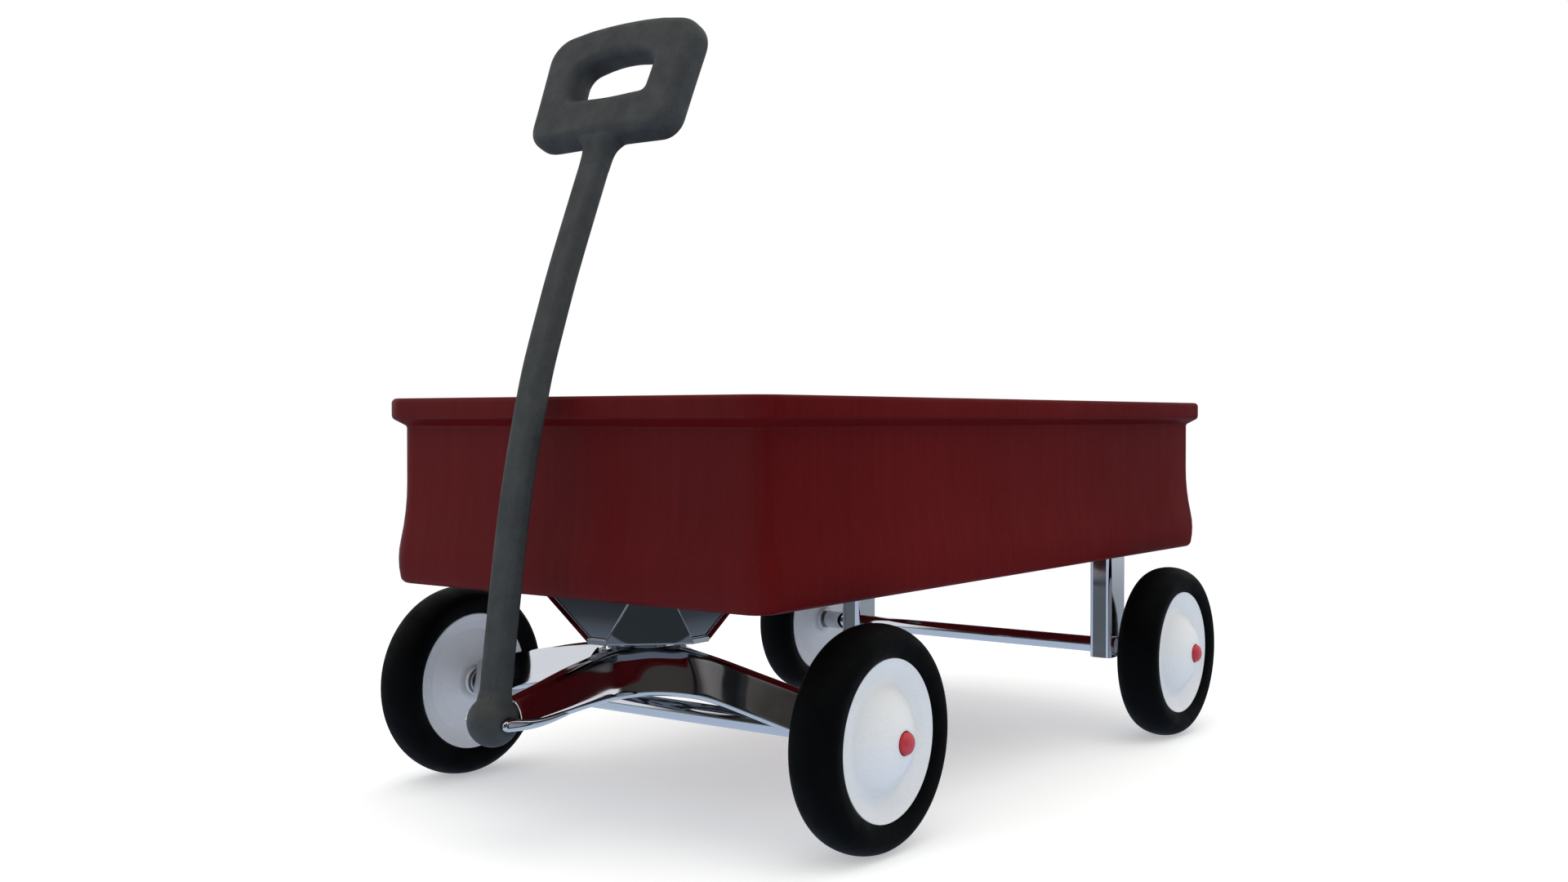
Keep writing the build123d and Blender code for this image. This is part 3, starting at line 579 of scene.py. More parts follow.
def build_tub():
    verts, faces, loops = [], [], []

    def add_loop(pts, z, ribbed=False, wav=0.0):
        base = len(verts)
        for x, y in pts:
            verts.append((x + TCX, y, z + (rib_h(x + TCX, y) if ribbed else 0.0)))
        loops.append(list(range(base, base + len(pts))))

    ramp = [(-2.5, 0.0), (-1.2, 0.0), (-0.5, 0.08), (0.15, 0.40), (0.7, 1.0), (4.35, 5.15), (4.9, 5.65), (5.6, 5.93), (6.6, 6.0), (8.5, 6.0), (11.0, 6.0)]
    # under side of the floor, from the middle outwards
    add_loop(plan_loop(half_x, half_y, 0.0), TB + 6.0, True)
    for d, z in reversed(ramp):
        add_loop(plan_loop(HX - 18 - d, HY - 18 - d, 14 - d), TB + z, z > 5.99)
    for o, z, a in skin:
        add_loop(plan_loop(HX + o, HY + o, CR + o), z)
    for o, z, a in reversed(wall):
        oo, zz = o - SHEET * math.sin(a), z + SHEET * math.cos(a)
        add_loop(plan_loop(HX + oo, HY + oo, CR + oo), zz)
    for d, z in ramp:
        dd = d - 0.30
        add_loop(plan_loop(HX - 18 - dd, HY - 18 - dd, 14 - dd), TB + SHEET + z, z > 5.99)
    add_loop(plan_loop(half_x, half_y, 0.0), TB + 6.0 + SHEET, True)
    for A, B in zip(loops[:-1], loops[1:]):
        m = len(A)
        for k in range(m):
            k2 = (k + 1) % m
            faces.append((A[k], A[k2], B[k2], B[k]))
    for z, flip in ((TB + 6.0, True), (TB + 6.0 + SHEET, False)):
        base = len(verts)
        for sx in XS:
            for sy in YS:
                x, y = sx * half_x + TCX, sy * half_y
                verts.append((x, y, z + rib_h(x, y)))
        ny = len(YS)
        for i in range(len(XS) - 1):
            for j in range(ny - 1):
                a, b, c, d = base + i * ny + j, base + (i + 1) * ny + j, base + (i + 1) * ny + j + 1, base + i * ny + j + 1
                faces.append((a, d, c, b) if flip else (a, b, c, d))
    return make_obj("tub_shell", verts, faces, "red_paint", "tub_body", ("tub",))


tub_ob = build_tub()
sharp_by_angle(tub_ob, 50)


# ======================================================================= wheels
SEG = 144


def tyre_profile():
    side = [(70.0, 17.2), (71.0, 19.3), (73.6, 21.4), (77.5, 23.1), (84.0, 24.0), (88.4, 22.6), (92.2, 19.4), (95.4, 13.9), (97.3, 7.2), (98.0, 0.0),
            (97.3, -7.2), (95.4, -13.9), (92.2, -19.4), (88.4, -22.6), (84.0, -24.0), (77.5, -23.1), (73.6, -21.4), (71.0, -19.3), (70.0, -17.2)]
    p = [tuple(q) for q in catmull(side, 4)]
    return p + [(68.0, -15.4), (66.05, -13.6), (66.05, 14.1), (68.0, 15.65)]


DOME_C, DOME_R, DT = -22.7, 58.2, 1.6


def outer_profile():
    def dome(r, rr):
        return DOME_C + math.sqrt(rr * rr - r * r)
    top = [(10.4, dome(10.4, DOME_R) - 0.5), (10.55, dome(10.4, DOME_R) - 0.15), (10.9, dome(10.9, DOME_R))]
    top += [(r, dome(r, DOME_R)) for r in np.linspace(13, 44.0, 13)]
    valley = catmull([(44.0, dome(44.0, DOME_R)), (46.6, 12.70), (49.0, 11.30), (51.4, 10.95), (54.0, 11.35), (57.4, 12.75), (62.0, 14.85), (66.2, 16.80), (68.0, 17.9), (69.0, 18.55), (69.7, 18.35), (69.88, 17.5)], 3)[1:]
    top += [tuple(v) for v in valley]
    low = [(69.4, 16.9), (66.6, 15.1), (62.0, 13.05), (57.6, 11.1), (54.0, 9.72), (51.4, 9.3), (48.6, 9.55), (46.0, 10.9), (43.2, dome(43.2, DOME_R - DT))]
    low += [(r, dome(r, DOME_R - DT)) for r in np.linspace(40, 12, 10)] + [(10.4, dome(10.4, DOME_R - DT))]
    return top + low


def inner_profile():
    pts = [(14.5, -17.7), (24.0, -15.0), (40.0, -12.9), (54.0, -12.4), (63.0, -14.4), (68.6, -17.0), (69.6, -17.3), (69.85, -18.0), (69.0, -18.75),
           (62.4, -16.2), (54.0, -14.1), (40.0, -14.6), (24.0, -16.7), (14.5, -19.4)]
    return round_poly(pts, [0, 8, 20, 8, 8, 2, 0.3, 0.3, 0.4, 8, 8, 20, 8, 0], 4)


tp, op, ip = tyre_profile(), outer_profile(), inner_profile()
tv, tf = lathe(tp, SEG)
ov, of_ = lathe(op, SEG)
iv, if_ = lathe(ip, SEG)
hp = round_poly([(12.0, -22.0), (14.5, -22.0), (14.5, 31.9), (12.0, 31.9)], 0.5, 3)
hv, hf = lathe(hp, 64)
for tag, body, x, s in (("front_left", "wheel_fl", XFm, 1), ("front_right", "wheel_fr", XFm, -1),
                        ("rear_left", "wheel_rl", XRm, 1), ("rear_right", "wheel_rr", XRm, -1)):
    args = dict(x=x, y=s * TRm, z=AZm, flip=(s < 0))
    make_obj("tyre_" + tag + "_rubber", place(tv, **args), tf, "tyre_rubber", body, ("tyre_" + tag,))
    make_obj("outer_disc_" + tag + "_enamel", place(ov, **args), of_, "white_enamel", body, ("outer_disc_" + tag,))
    make_obj("inner_disc_" + tag + "_enamel", place(iv, **args), if_, "white_enamel", body, ("inner_disc_" + tag,))
    sharp_by_angle(make_obj("hub_" + tag + "_tube", place(hv, **args), hf, "white_enamel", body, ("hub_" + tag,)), 60)

# axle rods, their red domed caps and the spacers
SHO, STUD, END = TRm + 24.7, 7.0, TRm + 35.0
for tag, x, body, sp0, spr in (("front", XFm, "fork", 229.0, 12.5), ("rear", XRm, "tub_body", 193.5, 11.2)):
    rod = round_poly([(5.0, -END), (STUD, -END), (STUD, -SHO), (9.5, -SHO), (9.5, SHO), (STUD, SHO), (STUD, END), (5.0, END)], [0.4, 0.5, 0.1, 0.6, 0.6, 0.1, 0.5, 0.4], 2)
    v, f = lathe(rod, 72)
    sharp_by_angle(make_obj(tag + "_axle_rod", place(v, x=x, z=AZm), f, "chrome", body, (tag + "_axle",)), 50)
    cap_p = [(7.05, 0.0), (9.2, 0.0), (9.6, 0.4)] + [(9.6, 2.0), (9.6, 5.0), (9.6, 9.0)]
    cap_p += [(9.6 * math.cos(a), 9.9 + 4.9 * math.sin(a)) for a in np.radians(np.linspace(0, 84, 13))]
    cap_p += [(0.0, 14.8), (0.0, 9.2), (6.6, 9.2), (7.05, 8.8)]
    v, f = lathe(cap_p, 56)
    vv = place(v, x=x, y=TRm + 26.2, z=AZm)
    v2 = place(v, x=x, y=-(TRm + 26.2), z=AZm, flip=True)
    make_obj(tag + "_axle_cap_domes", vv + v2, f + [tuple(i + len(vv) for i in q) for q in f], "red_caps", body, (tag + "_axle_caps",))
    sp = round_poly([(9.56, sp0), (spr, sp0), (spr, TRm - 23.6), (9.56, TRm - 23.6)], 0.5, 2)
    v, f = lathe(sp, 64)
    vv = place(v, x=x, z=AZm)
    v2 = place([(a, -b, c) for a, b, c in v], x=x, z=AZm)
    sharp_by_angle(make_obj(tag + "_spacer_tubes", vv + v2, f + [tuple(i + len(vv) for i in q) for q in f], "chrome", body, (tag + "_axle_spacers",)), 50)


# ======================================================================= handle
B = BALL / MM
PATH = [(194.7, 113.4), (178.6, 231.8), (164.6, 315.5), (149.8, 380.0), (142.4, 408.0), (127.6, 452.0),
        (111.6, 496.0), (93.6, 541.0), (74.6, 587.0), (64.6, 611.0)]
PATH = [(XFm + x, z) for x, z in PATH]


def natural_spline(pts, per=12):
    """Chord-length natural cubic spline through 2-D points."""
    P = np.array(pts, float)
    t = np.concatenate([[0], np.cumsum(np.linalg.norm(np.diff(P, axis=0), axis=1))])
    n = len(t)
    h = np.diff(t)
    A = np.zeros((n, n))
    R = np.zeros((n, 2))
    A[0, 0] = A[-1, -1] = 1.0
    for i in range(1, n - 1):
        A[i, i - 1], A[i, i], A[i, i + 1] = h[i - 1], 2 * (h[i - 1] + h[i]), h[i]
        R[i] = 6 * ((P[i + 1] - P[i]) / h[i] - (P[i] - P[i - 1]) / h[i - 1])
    M = np.linalg.solve(A, R)
    out, tan = [], []
    for i in range(n - 1):
        for k in range(per if i < n - 2 else per + 1):
            u = t[i] + h[i] * k / per
            a, b = (t[i + 1] - u) / h[i], (u - t[i]) / h[i]
            out.append(a * P[i] + b * P[i + 1] + ((a ** 3 - a) * M[i] + (b ** 3 - b) * M[i + 1]) * h[i] ** 2 / 6)
            tan.append((P[i + 1] - P[i]) / h[i] + (-(3 * a * a - 1) * M[i] + (3 * b * b - 1) * M[i + 1]) * h[i] / 6)
    tan = [q / np.linalg.norm(q) for q in tan]
    return out, tan


cl, ct = natural_spline(PATH)


def rrect(wy, wx, r, n=5, mid=3):
    """Rounded rectangle section, (y, n) pairs, with extra points along its flats."""
    p = round_poly([(wy / 2, -wx / 2), (wy / 2, wx / 2), (-wy / 2, wx / 2), (-wy / 2, -wx / 2)], r, n)
    out = []
    for i in range(len(p)):
        a, b = np.array(p[i]), np.array(p[(i + 1) % len(p)])
        out.append(tuple(a))
        if np.linalg.norm(b - a) > 4.0:
            for k in range(1, mid + 1):
                out.append(tuple(a + (b - a) * k / (mid + 1)))
    return out


def sweep_sections(stations):
    """stations: (origin 3-vector, normal direction 3-vector, section list of (y, n)) -> closed mesh."""
    verts, faces = [], []
    m = len(stations[0][2])
    for o, nrm, sec in stations:
        for y, n in sec:
            verts.append((o[0] + nrm[0] * n, o[1] + y, o[2] + nrm[2] * n))
    for i in range(len(stations) - 1):
        for k in range(m):
            k2 = (k + 1) % m
            faces.append((i * m + k, i * m + k2, (i + 1) * m + k2, (i + 1) * m + k))
    faces.append(tuple(reversed(range(m))))
    faces.append(tuple(range((len(stations) - 1) * m, len(stations) * m)))
    return verts, faces


st = []
for p, t in zip(cl, ct):
    d = math.hypot(p[0] - B.x, p[1] - B.z)
    if d < 8.0:
        continue
    nrm = (t[1], 0.0, -t[0])
    st.append(((p[0], 0.0, p[1]), nrm, rrect(28.4, 18.4, 6.6)))
p0, t0 = np.array(cl[0]), np.array(ct[0])
first = p0 + t0 * 8.0
st.insert(0, ((first[0], 0.0, first[1]), (t0[1], 0.0, -t0[0]), rrect(28.4, 18.4, 6.6)))
v, f = sweep_sections(st)
shaft_ob = make_obj("handle_shaft_bar", v, f, "grey_plastic", "handle", ("handle_shaft",))
sharp_by_angle(shaft_ob, 50)

# grip loop in its own plane: u across, s along the handle
GA = math.radians(22.0)
g_d = np.array([-math.sin(GA), 0.0, math.cos(GA)])
g_n = np.array([math.cos(GA), 0.0, math.sin(GA)])
g_o = np.array([XFm + 64.6, 0.0, 611.0])


def arched(x_lo, z_lo, x_hi, z_hi, z_top, r_lo, r_hi, n=8):
    top = [(x_hi * math.cos(a), z_hi + (z_top - z_hi) * math.sin(a) ** 1.0) for a in np.linspace(0.0, math.pi, 3)]
    # shallow arch over the top between the two corners, as a circular arc
    h = z_top - z_hi
    R = (x_hi ** 2 + h ** 2) / (2 * h)
    cz = z_top - R
    th = math.asin(x_hi / R)
    arc = [(R * math.sin(q), cz + R * math.cos(q)) for q in np.linspace(th, -th, 17)]
    pts = [(-x_lo, z_lo), (x_lo, z_lo)] + arc
    rad = [r_lo, r_lo, r_hi] + [0] * 15 + [r_hi]
    # rounding at the arch's ends needs long neighbours, so thin the arc there
    keep = pts[:3] + pts[6:-4] + pts[-1:]
    rad = rad[:3] + rad[6:-4] + rad[-1:]
    return round_poly(keep, rad, n)


def ray_hit(poly, c, ang):
    d = np.array([math.cos(ang), math.sin(ang)])
    best = None
    for i in range(len(poly)):
        a, b = np.array(poly[i]) - c, np.array(poly[(i + 1) % len(poly)]) - c
        e = b - a
        den = d[0] * e[1] - d[1] * e[0]
        if abs(den) < 1e-12:
            continue
        t = (a[0] * e[1] - a[1] * e[0]) / den
        s = (a[0] * d[1] - a[1] * d[0]) / den
        if t > 0 and -1e-9 <= s <= 1 + 1e-9:
            best = t if best is None else max(best, t)
    return best


outer = arched(86.5, 11.5, 92.5, 124.5, 136.0, 19.0, 26.0)
hole = arched(45.0, 55.5, 47.5, 91.5, 98.0, 5.5, 14.0)
gc = np.array([0.0, 77.0])
verts, faces = [], []
NA, NS = 200, 28
for i in range(NA):
    ang = 2 * math.pi * i / NA
    r0, r1 = ray_hit(hole, gc, ang), ray_hit(outer, gc, ang)
    w, mid = (r1 - r0) / 2, (r1 + r0) / 2
    sec = round_poly([(w, -15.0), (w, 15.0), (-w, 15.0), (-w, -15.0)], [10.5, 10.5, 9.5, 9.5], 5)
    full = []
    for k in range(len(sec)):
        a, b = np.array(sec[k]), np.array(sec[(k + 1) % len(sec)])
        full.append(a)
        if k % 6 == 5:
            full.append((a + b) / 2)
    for q in full:
        rr_ = mid + q[0]
        u, s = gc[0] + rr_ * math.cos(ang), gc[1] + rr_ * math.sin(ang)
        # the faces of the loop crown gently
        nn = q[1] * (1.0 - 0.05 * (abs(q[0]) / w) ** 2)
        P = g_o + g_d * s + g_n * nn
        verts.append((P[0], u, P[2]))
    NS = len(full)
for i in range(NA):
    for k in range(NS):
        i2, k2 = (i + 1) % NA, (k + 1) % NS
        faces.append((i * NS + k, i2 * NS + k, i2 * NS + k2, i * NS + k2))
# flared neck that the shaft runs into
secs = []
for s, wy, wn, r in ((-17.5, 28.7, 18.7, 6.7), (-15, 28.9, 18.9, 6.8), (-9, 29.2, 19.2, 7.0), (-2, 30.0, 19.8, 7.4), (3, 31.8, 20.8, 8.0),
                     (7, 34.6, 22.2, 8.6), (10, 39.0, 23.4, 9.0), (12.5, 45.5, 24.2, 9.2), (16, 50.0, 24.2, 9.2), (24, 50, 24.0, 9.0)):
    o = g_o + g_d * s
    secs.append(((o[0], 0.0, o[2]), tuple(g_n), rrect(wy, wn, r)))
nv, nf = sweep_sections(secs)
off = len(verts)
verts += nv
faces += [tuple(i + off for i in q) for q in nf]
grip_ob = make_obj("handle_grip_loop", verts, faces, "grey_plastic", "handle", ("handle_grip", "grip_rivets"))


def remesh_smooth(ob, voxel, iters, factor=0.5):
    """Joins overlapping shells into one skin and softens the joins."""
    bpy.context.view_layer.objects.active = ob
    m = ob.modifiers.new("remesh", "REMESH")
    m.mode = "VOXEL"
    m.voxel_size = voxel * MM
    m.use_smooth_shade = True
    s = ob.modifiers.new("smooth", "SMOOTH")
    s.factor, s.iterations = factor, iters
    dg = bpy.context.evaluated_depsgraph_get()
    me = bpy.data.meshes.new_from_object(ob.evaluated_get(dg))
    old = ob.data
    ob.modifiers.clear()
    ob.data = me
    if not me.materials:
        me.materials.append(old.materials[0])
    for p in me.polygons:
        p.use_smooth = True
    bpy.data.meshes.remove(old)
    return ob


remesh_smooth(grip_ob, 1.4, 7)

# ball with two softened flats for the ears; the shaft sinks into its top
bp = []
FL = 19.5
for a in np.linspace(-90, 90, 49):
    y, r = 22.1 * math.sin(math.radians(a)), 22.1 * math.cos(math.radians(a))
    if abs(y) > FL - 0.4:
        continue
    bp.append((r, y))
fr = math.sqrt(22.1 ** 2 - FL ** 2)
prof = [(4.1, -FL + 0.6), (4.6, -FL + 0.05), (5.2, -FL), (fr - 1.6, -FL), (fr - 0.3, -FL + 0.12), (fr + 0.5, -FL + 0.55)] + bp + \
       [(fr + 0.5, FL - 0.55), (fr - 0.3, FL - 0.12), (fr - 1.6, FL), (5.2, FL), (4.6, FL - 0.05), (4.1, FL - 0.6)]
v, f = lathe(prof, 96)
ball_v = place(v, x=B.x, z=B.z)
# raised throat where the shaft enters
tv_, tf_ = sweep_sections([((B.x + t0[0] * q, 0.0, B.z + t0[1] * q), (t0[1], 0.0, -t0[0]), rrect(28.4 + e, 18.4 + e, 6.6 + e / 2))
                           for q, e in ((9.0, 3.0), (16.0, 3.4), (19.0, 2.6), (21.0, 1.7), (23.5, 0.8), (25.5, 0.25))])
ball_ob = make_obj("handle_knuckle_ball", ball_v + tv_, f + [tuple(i + len(ball_v) for i in q) for q in tf_], "grey_plastic", "handle", ("handle_knuckle", "knuckle_rivet"))
remesh_smooth(ball_ob, 0.9, 5)


# ================================================================ steering fork
def smooth_tab(tab):
    """Dense curve through table points (Catmull-Rom)."""
    return [tuple(p) for p in catmull(tab, 8)]


def look_up(tab, x):
    return float(np.interp(x, [p[0] for p in tab], [p[1] for p in tab]))


T_TOP = smooth_tab([(30, 156.4), (48, 155.4), (64, 153.6), (87, 149.4), (110, 144.4), (134.5, 138.6), (160, 132.6), (184, 127.6)])
T_FB = smooth_tab([(30, 122.0), (60, 121.2), (90, 119.6), (115, 117.4), (140, 115.0), (165, 112.8), (184, 111.6)])
A_TOP = smooth_tab([(30, 156.4), (48, 155.2), (66, 153.2), (90, 149.6), (114, 145.3), (150, 138.4), (185, 131.0), (232, 120.4)])
A_FB = smooth_tab([(30, 121.5), (60, 121.2), (80, 119.9), (95, 118.0), (133, 110.7), (176, 101.9), (200, 97.4), (216, 94.6), (232, 93.2)])
WEB_FB = 122.0
XT, YT = 182.5, 229.0
ARM_YS = [94.0, 108.0, 124.0, 142.0, 162.0, 182.0, 202.0]
TIP = [0.0, 0.28, 0.52, 0.74, 0.90]
NECK = 33.4


def half_outline(wt, wa, R, rb):
    """Plan outline from the middle of the tongue's tip round to the middle of the back."""
    P = []
    c = (wa + R, wt + R)
    for q in TIP:
        P.append((XT, q * wt, "T", XT))
    P.append((XT - 1.2, wt, "T", XT - 1.2))
    for x in (XT - 8, XT - 20, XT - 36, XT - 54, XT - 72):
        P.append((x, wt, "T", x))
    for i in range(11):
        a = math.radians(-90 - 90 * i / 10)
        P.append((c[0] + R * math.cos(a), c[1] + R * math.sin(a), "W", i / 10))
    for y in ARM_YS:
        P.append((wa, y, "A", y))
    P.append((wa, YT - 7.0, "A", YT - 7.0))
    P.append((wa - 0.7, YT - 1.0, "A", YT - 1.0))
    for q in (0.6, 0.0, -0.6):
        P.append((q * wa, YT, "E", YT))
    P.append((-wa + 0.7, YT - 1.0, "B", YT - 1.0))
    P.append((-wa, YT - 7.0, "B", YT - 7.0))
    for y in reversed(ARM_YS):
        P.append((-wa, y, "B", y))
    b0, b1, b2, b3 = (-wa, 88.0), (-wa, 58.0), (-rb, 30.0), (-rb, 0.0)
    for i in range(11):
        t = i / 10
        P.append(((1 - t) ** 3 * b0[0] + 3 * (1 - t) ** 2 * t * b1[0] + 3 * (1 - t) * t * t * b2[0] + t ** 3 * b3[0],
                  (1 - t) ** 3 * b0[1] + 3 * (1 - t) ** 2 * t * b1[1] + 3 * (1 - t) * t * t * b2[1] + t ** 3 * b3[1], "C", t))
    return P


def bottom_z(P):
    xa = [p[0] for p in P if p[2] == "W"][0]
    ya = [p[1] for p in P if p[2] == "W"][-1]
    out = []
    for x, y, tag, s in P:
        if tag == "T":
            out.append(look_up(T_FB, s))
        elif tag == "W":
            a, b = look_up(T_FB, xa), look_up(A_FB, ya)
            out.append(a + (b - a) * s + (WEB_FB - (a + b) / 2) * math.sin(math.pi * s) ** 1.3)
        elif tag == "C":
            a = look_up(A_FB, 88.0)
            out.append(a + (WEB_FB - a) * math.sin(math.pi * s / 2) ** 1.3)
        else:
            out.append(look_up(A_FB, s))
    return out


def ridge(P, ring_r, ring_z, drop):
    """Highest line over each station: along the limbs, and a ring round the neck."""
    out = []
    for x, y, tag, s in P:
        if tag == "T":
            xa = x if x > 128 else max(ring_r + 3.0, x - (128.0 - x) * 0.75)
            out.append((xa, 0.0, look_up(T_TOP, xa) - drop))
        elif tag in "AEB":
            ya = y if y > 130 else max(ring_r + 3.0, y - (130.0 - y) * 0.75)
            out.append((0.0, ya, look_up(A_TOP, ya) - drop))
        elif tag == "W":
            a = math.radians(90 * s)
            out.append((ring_r * math.cos(a), ring_r * math.sin(a), ring_z))
        else:
            a = math.radians(90 + 90 * s)
            out.append((ring_r * math.cos(a), ring_r * math.sin(a), ring_z))
    return out


OUT = half_outline(20.4, 13.8, 61.2, 52.0)
OUT_Z = bottom_z(OUT)
CREST = ridge(OUT, NECK + 0.6, 157.0, 0.0)
# a limb has a narrow flat top with a firm edge and a long swelled face; round the
# neck the metal rounds over instead, and the two blend through the fillets
FLAT = [(0.20, 0.003), (0.34, 0.016), (0.43, 0.070), (0.51, 0.185), (0.62, 0.365), (0.76, 0.580), (0.90, 0.820), (1.0, 1.0)]
ROUND = [(0.13, 0.020), (0.27, 0.075), (0.42, 0.175), (0.57, 0.320), (0.71, 0.500), (0.83, 0.690), (0.93, 0.870), (1.0, 1.0)]
BLEND = [math.sin(math.pi * p[3]) ** 0.8 if p[2] == "W" else (math.sin(math.pi * p[3] / 2) ** 0.8 if p[2] == "C" else 0.0) for p in OUT]
ROWS = [CREST]
for (uf, vf), (ur, vr) in zip(FLAT, ROUND):
    row = []
    for a, b, z, k in zip(CREST, OUT, OUT_Z, BLEND):
        u, v = uf + (ur - uf) * k, vf + (vr - vf) * k
        row.append((a[0] + (b[0] - a[0]) * u, a[1] + (b[1] - a[1]) * u, a[2] + (z - a[2]) * v))
    ROWS.append(row)
# the rolled lower lip, then the inside of the pressing
for wt, wa, R, rb, dz in ((20.9, 14.2, 60.8, 52.5, -2.4), (20.6, 13.9, 61.1, 52.2, -4.8), (19.2, 12.6, 62.4, 50.9, -6.7),
                          (16.8, 10.9, 64.2, 48.6, -7.2), (15.0, 9.7, 65.6, 46.8, -5.0), (14.2, 9.2, 66.2, 46.0, 2.0)):
    Q = half_outline(wt, wa, R, rb)
    ROWS.append([(q[0], q[1], z + dz) for q, z in zip(Q, OUT_Z)])
INNER = ridge(OUT, 27.0, 141.0, 9.0)
INN = [(q[0], q[1]) for q in half_outline(9.0, 6.6, 69.0, 40.5)]
ROWS.append([(a[0] + (c[0] - a[0]) * 0.9, a[1] + (c[1] - a[1]) * 0.9, a[2] * 0.72 + z * 0.28) for a, c, z in zip(INNER, INN, OUT_Z)])
ROWS.append(INNER)
CUP_R = 23.5


def build_fork():
    n = len(OUT)
    verts, faces = [], []
    bx, bz = B.x - XFm, B.z

    def emit(row, mirror):
        base = len(verts)
        for k, (x, y, z) in enumerate(row):
            # the tongue's end is cupped round the ball
            q = CUP_R ** 2 - y * y - (z - bz) ** 2
            if OUT[k][2] == "T" and q > 0 and x > bx - math.sqrt(q):
                x = bx - math.sqrt(q)
            verts.append((x, -y if mirror else y, z))
        return base

    for mirror in (False, True):
        bases = [emit(r, mirror) for r in ROWS]
        for a, b in zip(bases[:-1], bases[1:]):
            for k in range(n - 1):
                q = (a + k, a + k + 1, b + k + 1, b + k)
                faces.append(tuple(reversed(q)) if mirror else q)
    ang = [90 * p[3] for p in OUT if p[2] == "W"] + [90 + 90 * p[3] for p in OUT if p[2] == "C"][1:]
    ang = ang + [-a for a in reversed(ang[1:-1])]

    def rings(spec, up):
        prev = None
        for r, z in spec:
            base = len(verts)
            for a in ang:
                verts.append((r * math.cos(math.radians(a)), r * math.sin(math.radians(a)), z))
            m = len(ang)
            if prev is not None:
                for k in range(m):
                    q = (prev + k, prev + (k + 1) % m, base + (k + 1) % m, base + k)
                    faces.append(q if up else tuple(reversed(q)))
            prev = base
        q = tuple(range(prev, prev + len(ang)))
        faces.append(q if up else tuple(reversed(q)))

    rings([(NECK + 0.6, 157.0), (33.15, 157.7), (33.0, 158.6), (32.9, 159.7), (32.4, 160.2), (30.0, 160.3), (20.0, 160.3), (6.2, 160.3)], True)
    rings([(27.0, 141.0), (24.0, 142.0), (12.0, 142.4)], False)
    return [(x + XFm, y, z) for x, y, z in verts], faces


v, f = build_fork()
fork_ob = make_obj("steering_fork_spider", v, f, "chrome", "fork", ("steering_fork",))
add_subsurf(fork_ob, 2)

# ears either side of the ball: tapered, rounded bars that grow out of the lower lip
ev, ef = [], []
for s in (1, -1):
    stn = []
    for x, yc_, w, h, z in ((118.0, 18.6, 3.0, 4.0, 112.6), (134.0, 19.4, 4.2, 5.4, 110.9), (150.0, 20.6, 5.0, 6.6, 109.6), (164.0, 21.8, 5.4, 7.8, 109.3), (177.0, 22.6, 5.5, 9.0, 110.2),
                            (188.0, 22.75, 5.5, 10.4, 111.6), (194.7, 22.75, 5.5, 11.2, 112.4), (200.0, 22.75, 5.3, 10.2, 112.4), (203.2, 22.75, 4.6, 7.6, 112.2), (204.6, 22.75, 3.0, 4.0, 112.1)):
        sec = []
        for k in range(24):
            a = 2 * math.pi * k / 24
            ca, sa = math.cos(a), math.sin(a)
            sec.append((s * yc_ + w / 2 * math.copysign(abs(ca) ** 0.62, ca), h / 2 * math.copysign(abs(sa) ** 0.85, sa)))
        stn.append(((x + XFm, 0.0, z), (0, 0, 1), sec))
    v, f = sweep_sections(stn)
    ef += [tuple(i + len(ev) for i in q) for q in f]
    ev += v
ears_ob = make_obj("steering_fork_ears", ev, ef, "chrome", "fork", ("handle_pin",))
add_subsurf(ears_ob, 1)


# ============================================= CAD nodes that keep their shape
def finish_cad(name, bevel=0.0, angle=35.0):
    ob = frame["nodes"][name]
    ob.data.materials.clear()
    ob.data.materials.append(MAT[SLOT[name]])
    for p in ob.data.polygons:
        p.material_index = 0
    if bevel > 0:
        w = ob.modifiers.new("weld", "WELD")
        w.merge_threshold = 2e-6
        b = ob.modifiers.new("bevel", "BEVEL")
        b.width = bevel * MM
        b.segments = 3
        b.limit_method = "ANGLE"
        b.angle_limit = math.radians(angle)
        b.harden_normals = False
        b.use_clamp_overlap = True


for name, ob in frame["nodes"].items():
    if ob.hide_render:
        continue
    bev = {"turntable_bracket": 0.9, "rear_post_left": 0.7, "rear_post_right": 0.7}.get(name, 0.0)
    finish_cad(name, bev)
    if name == "turntable_bracket":
        ob.data.materials.clear()
        ob.data.materials.append(chrome("chrome_bracket", shaded_webs=True))


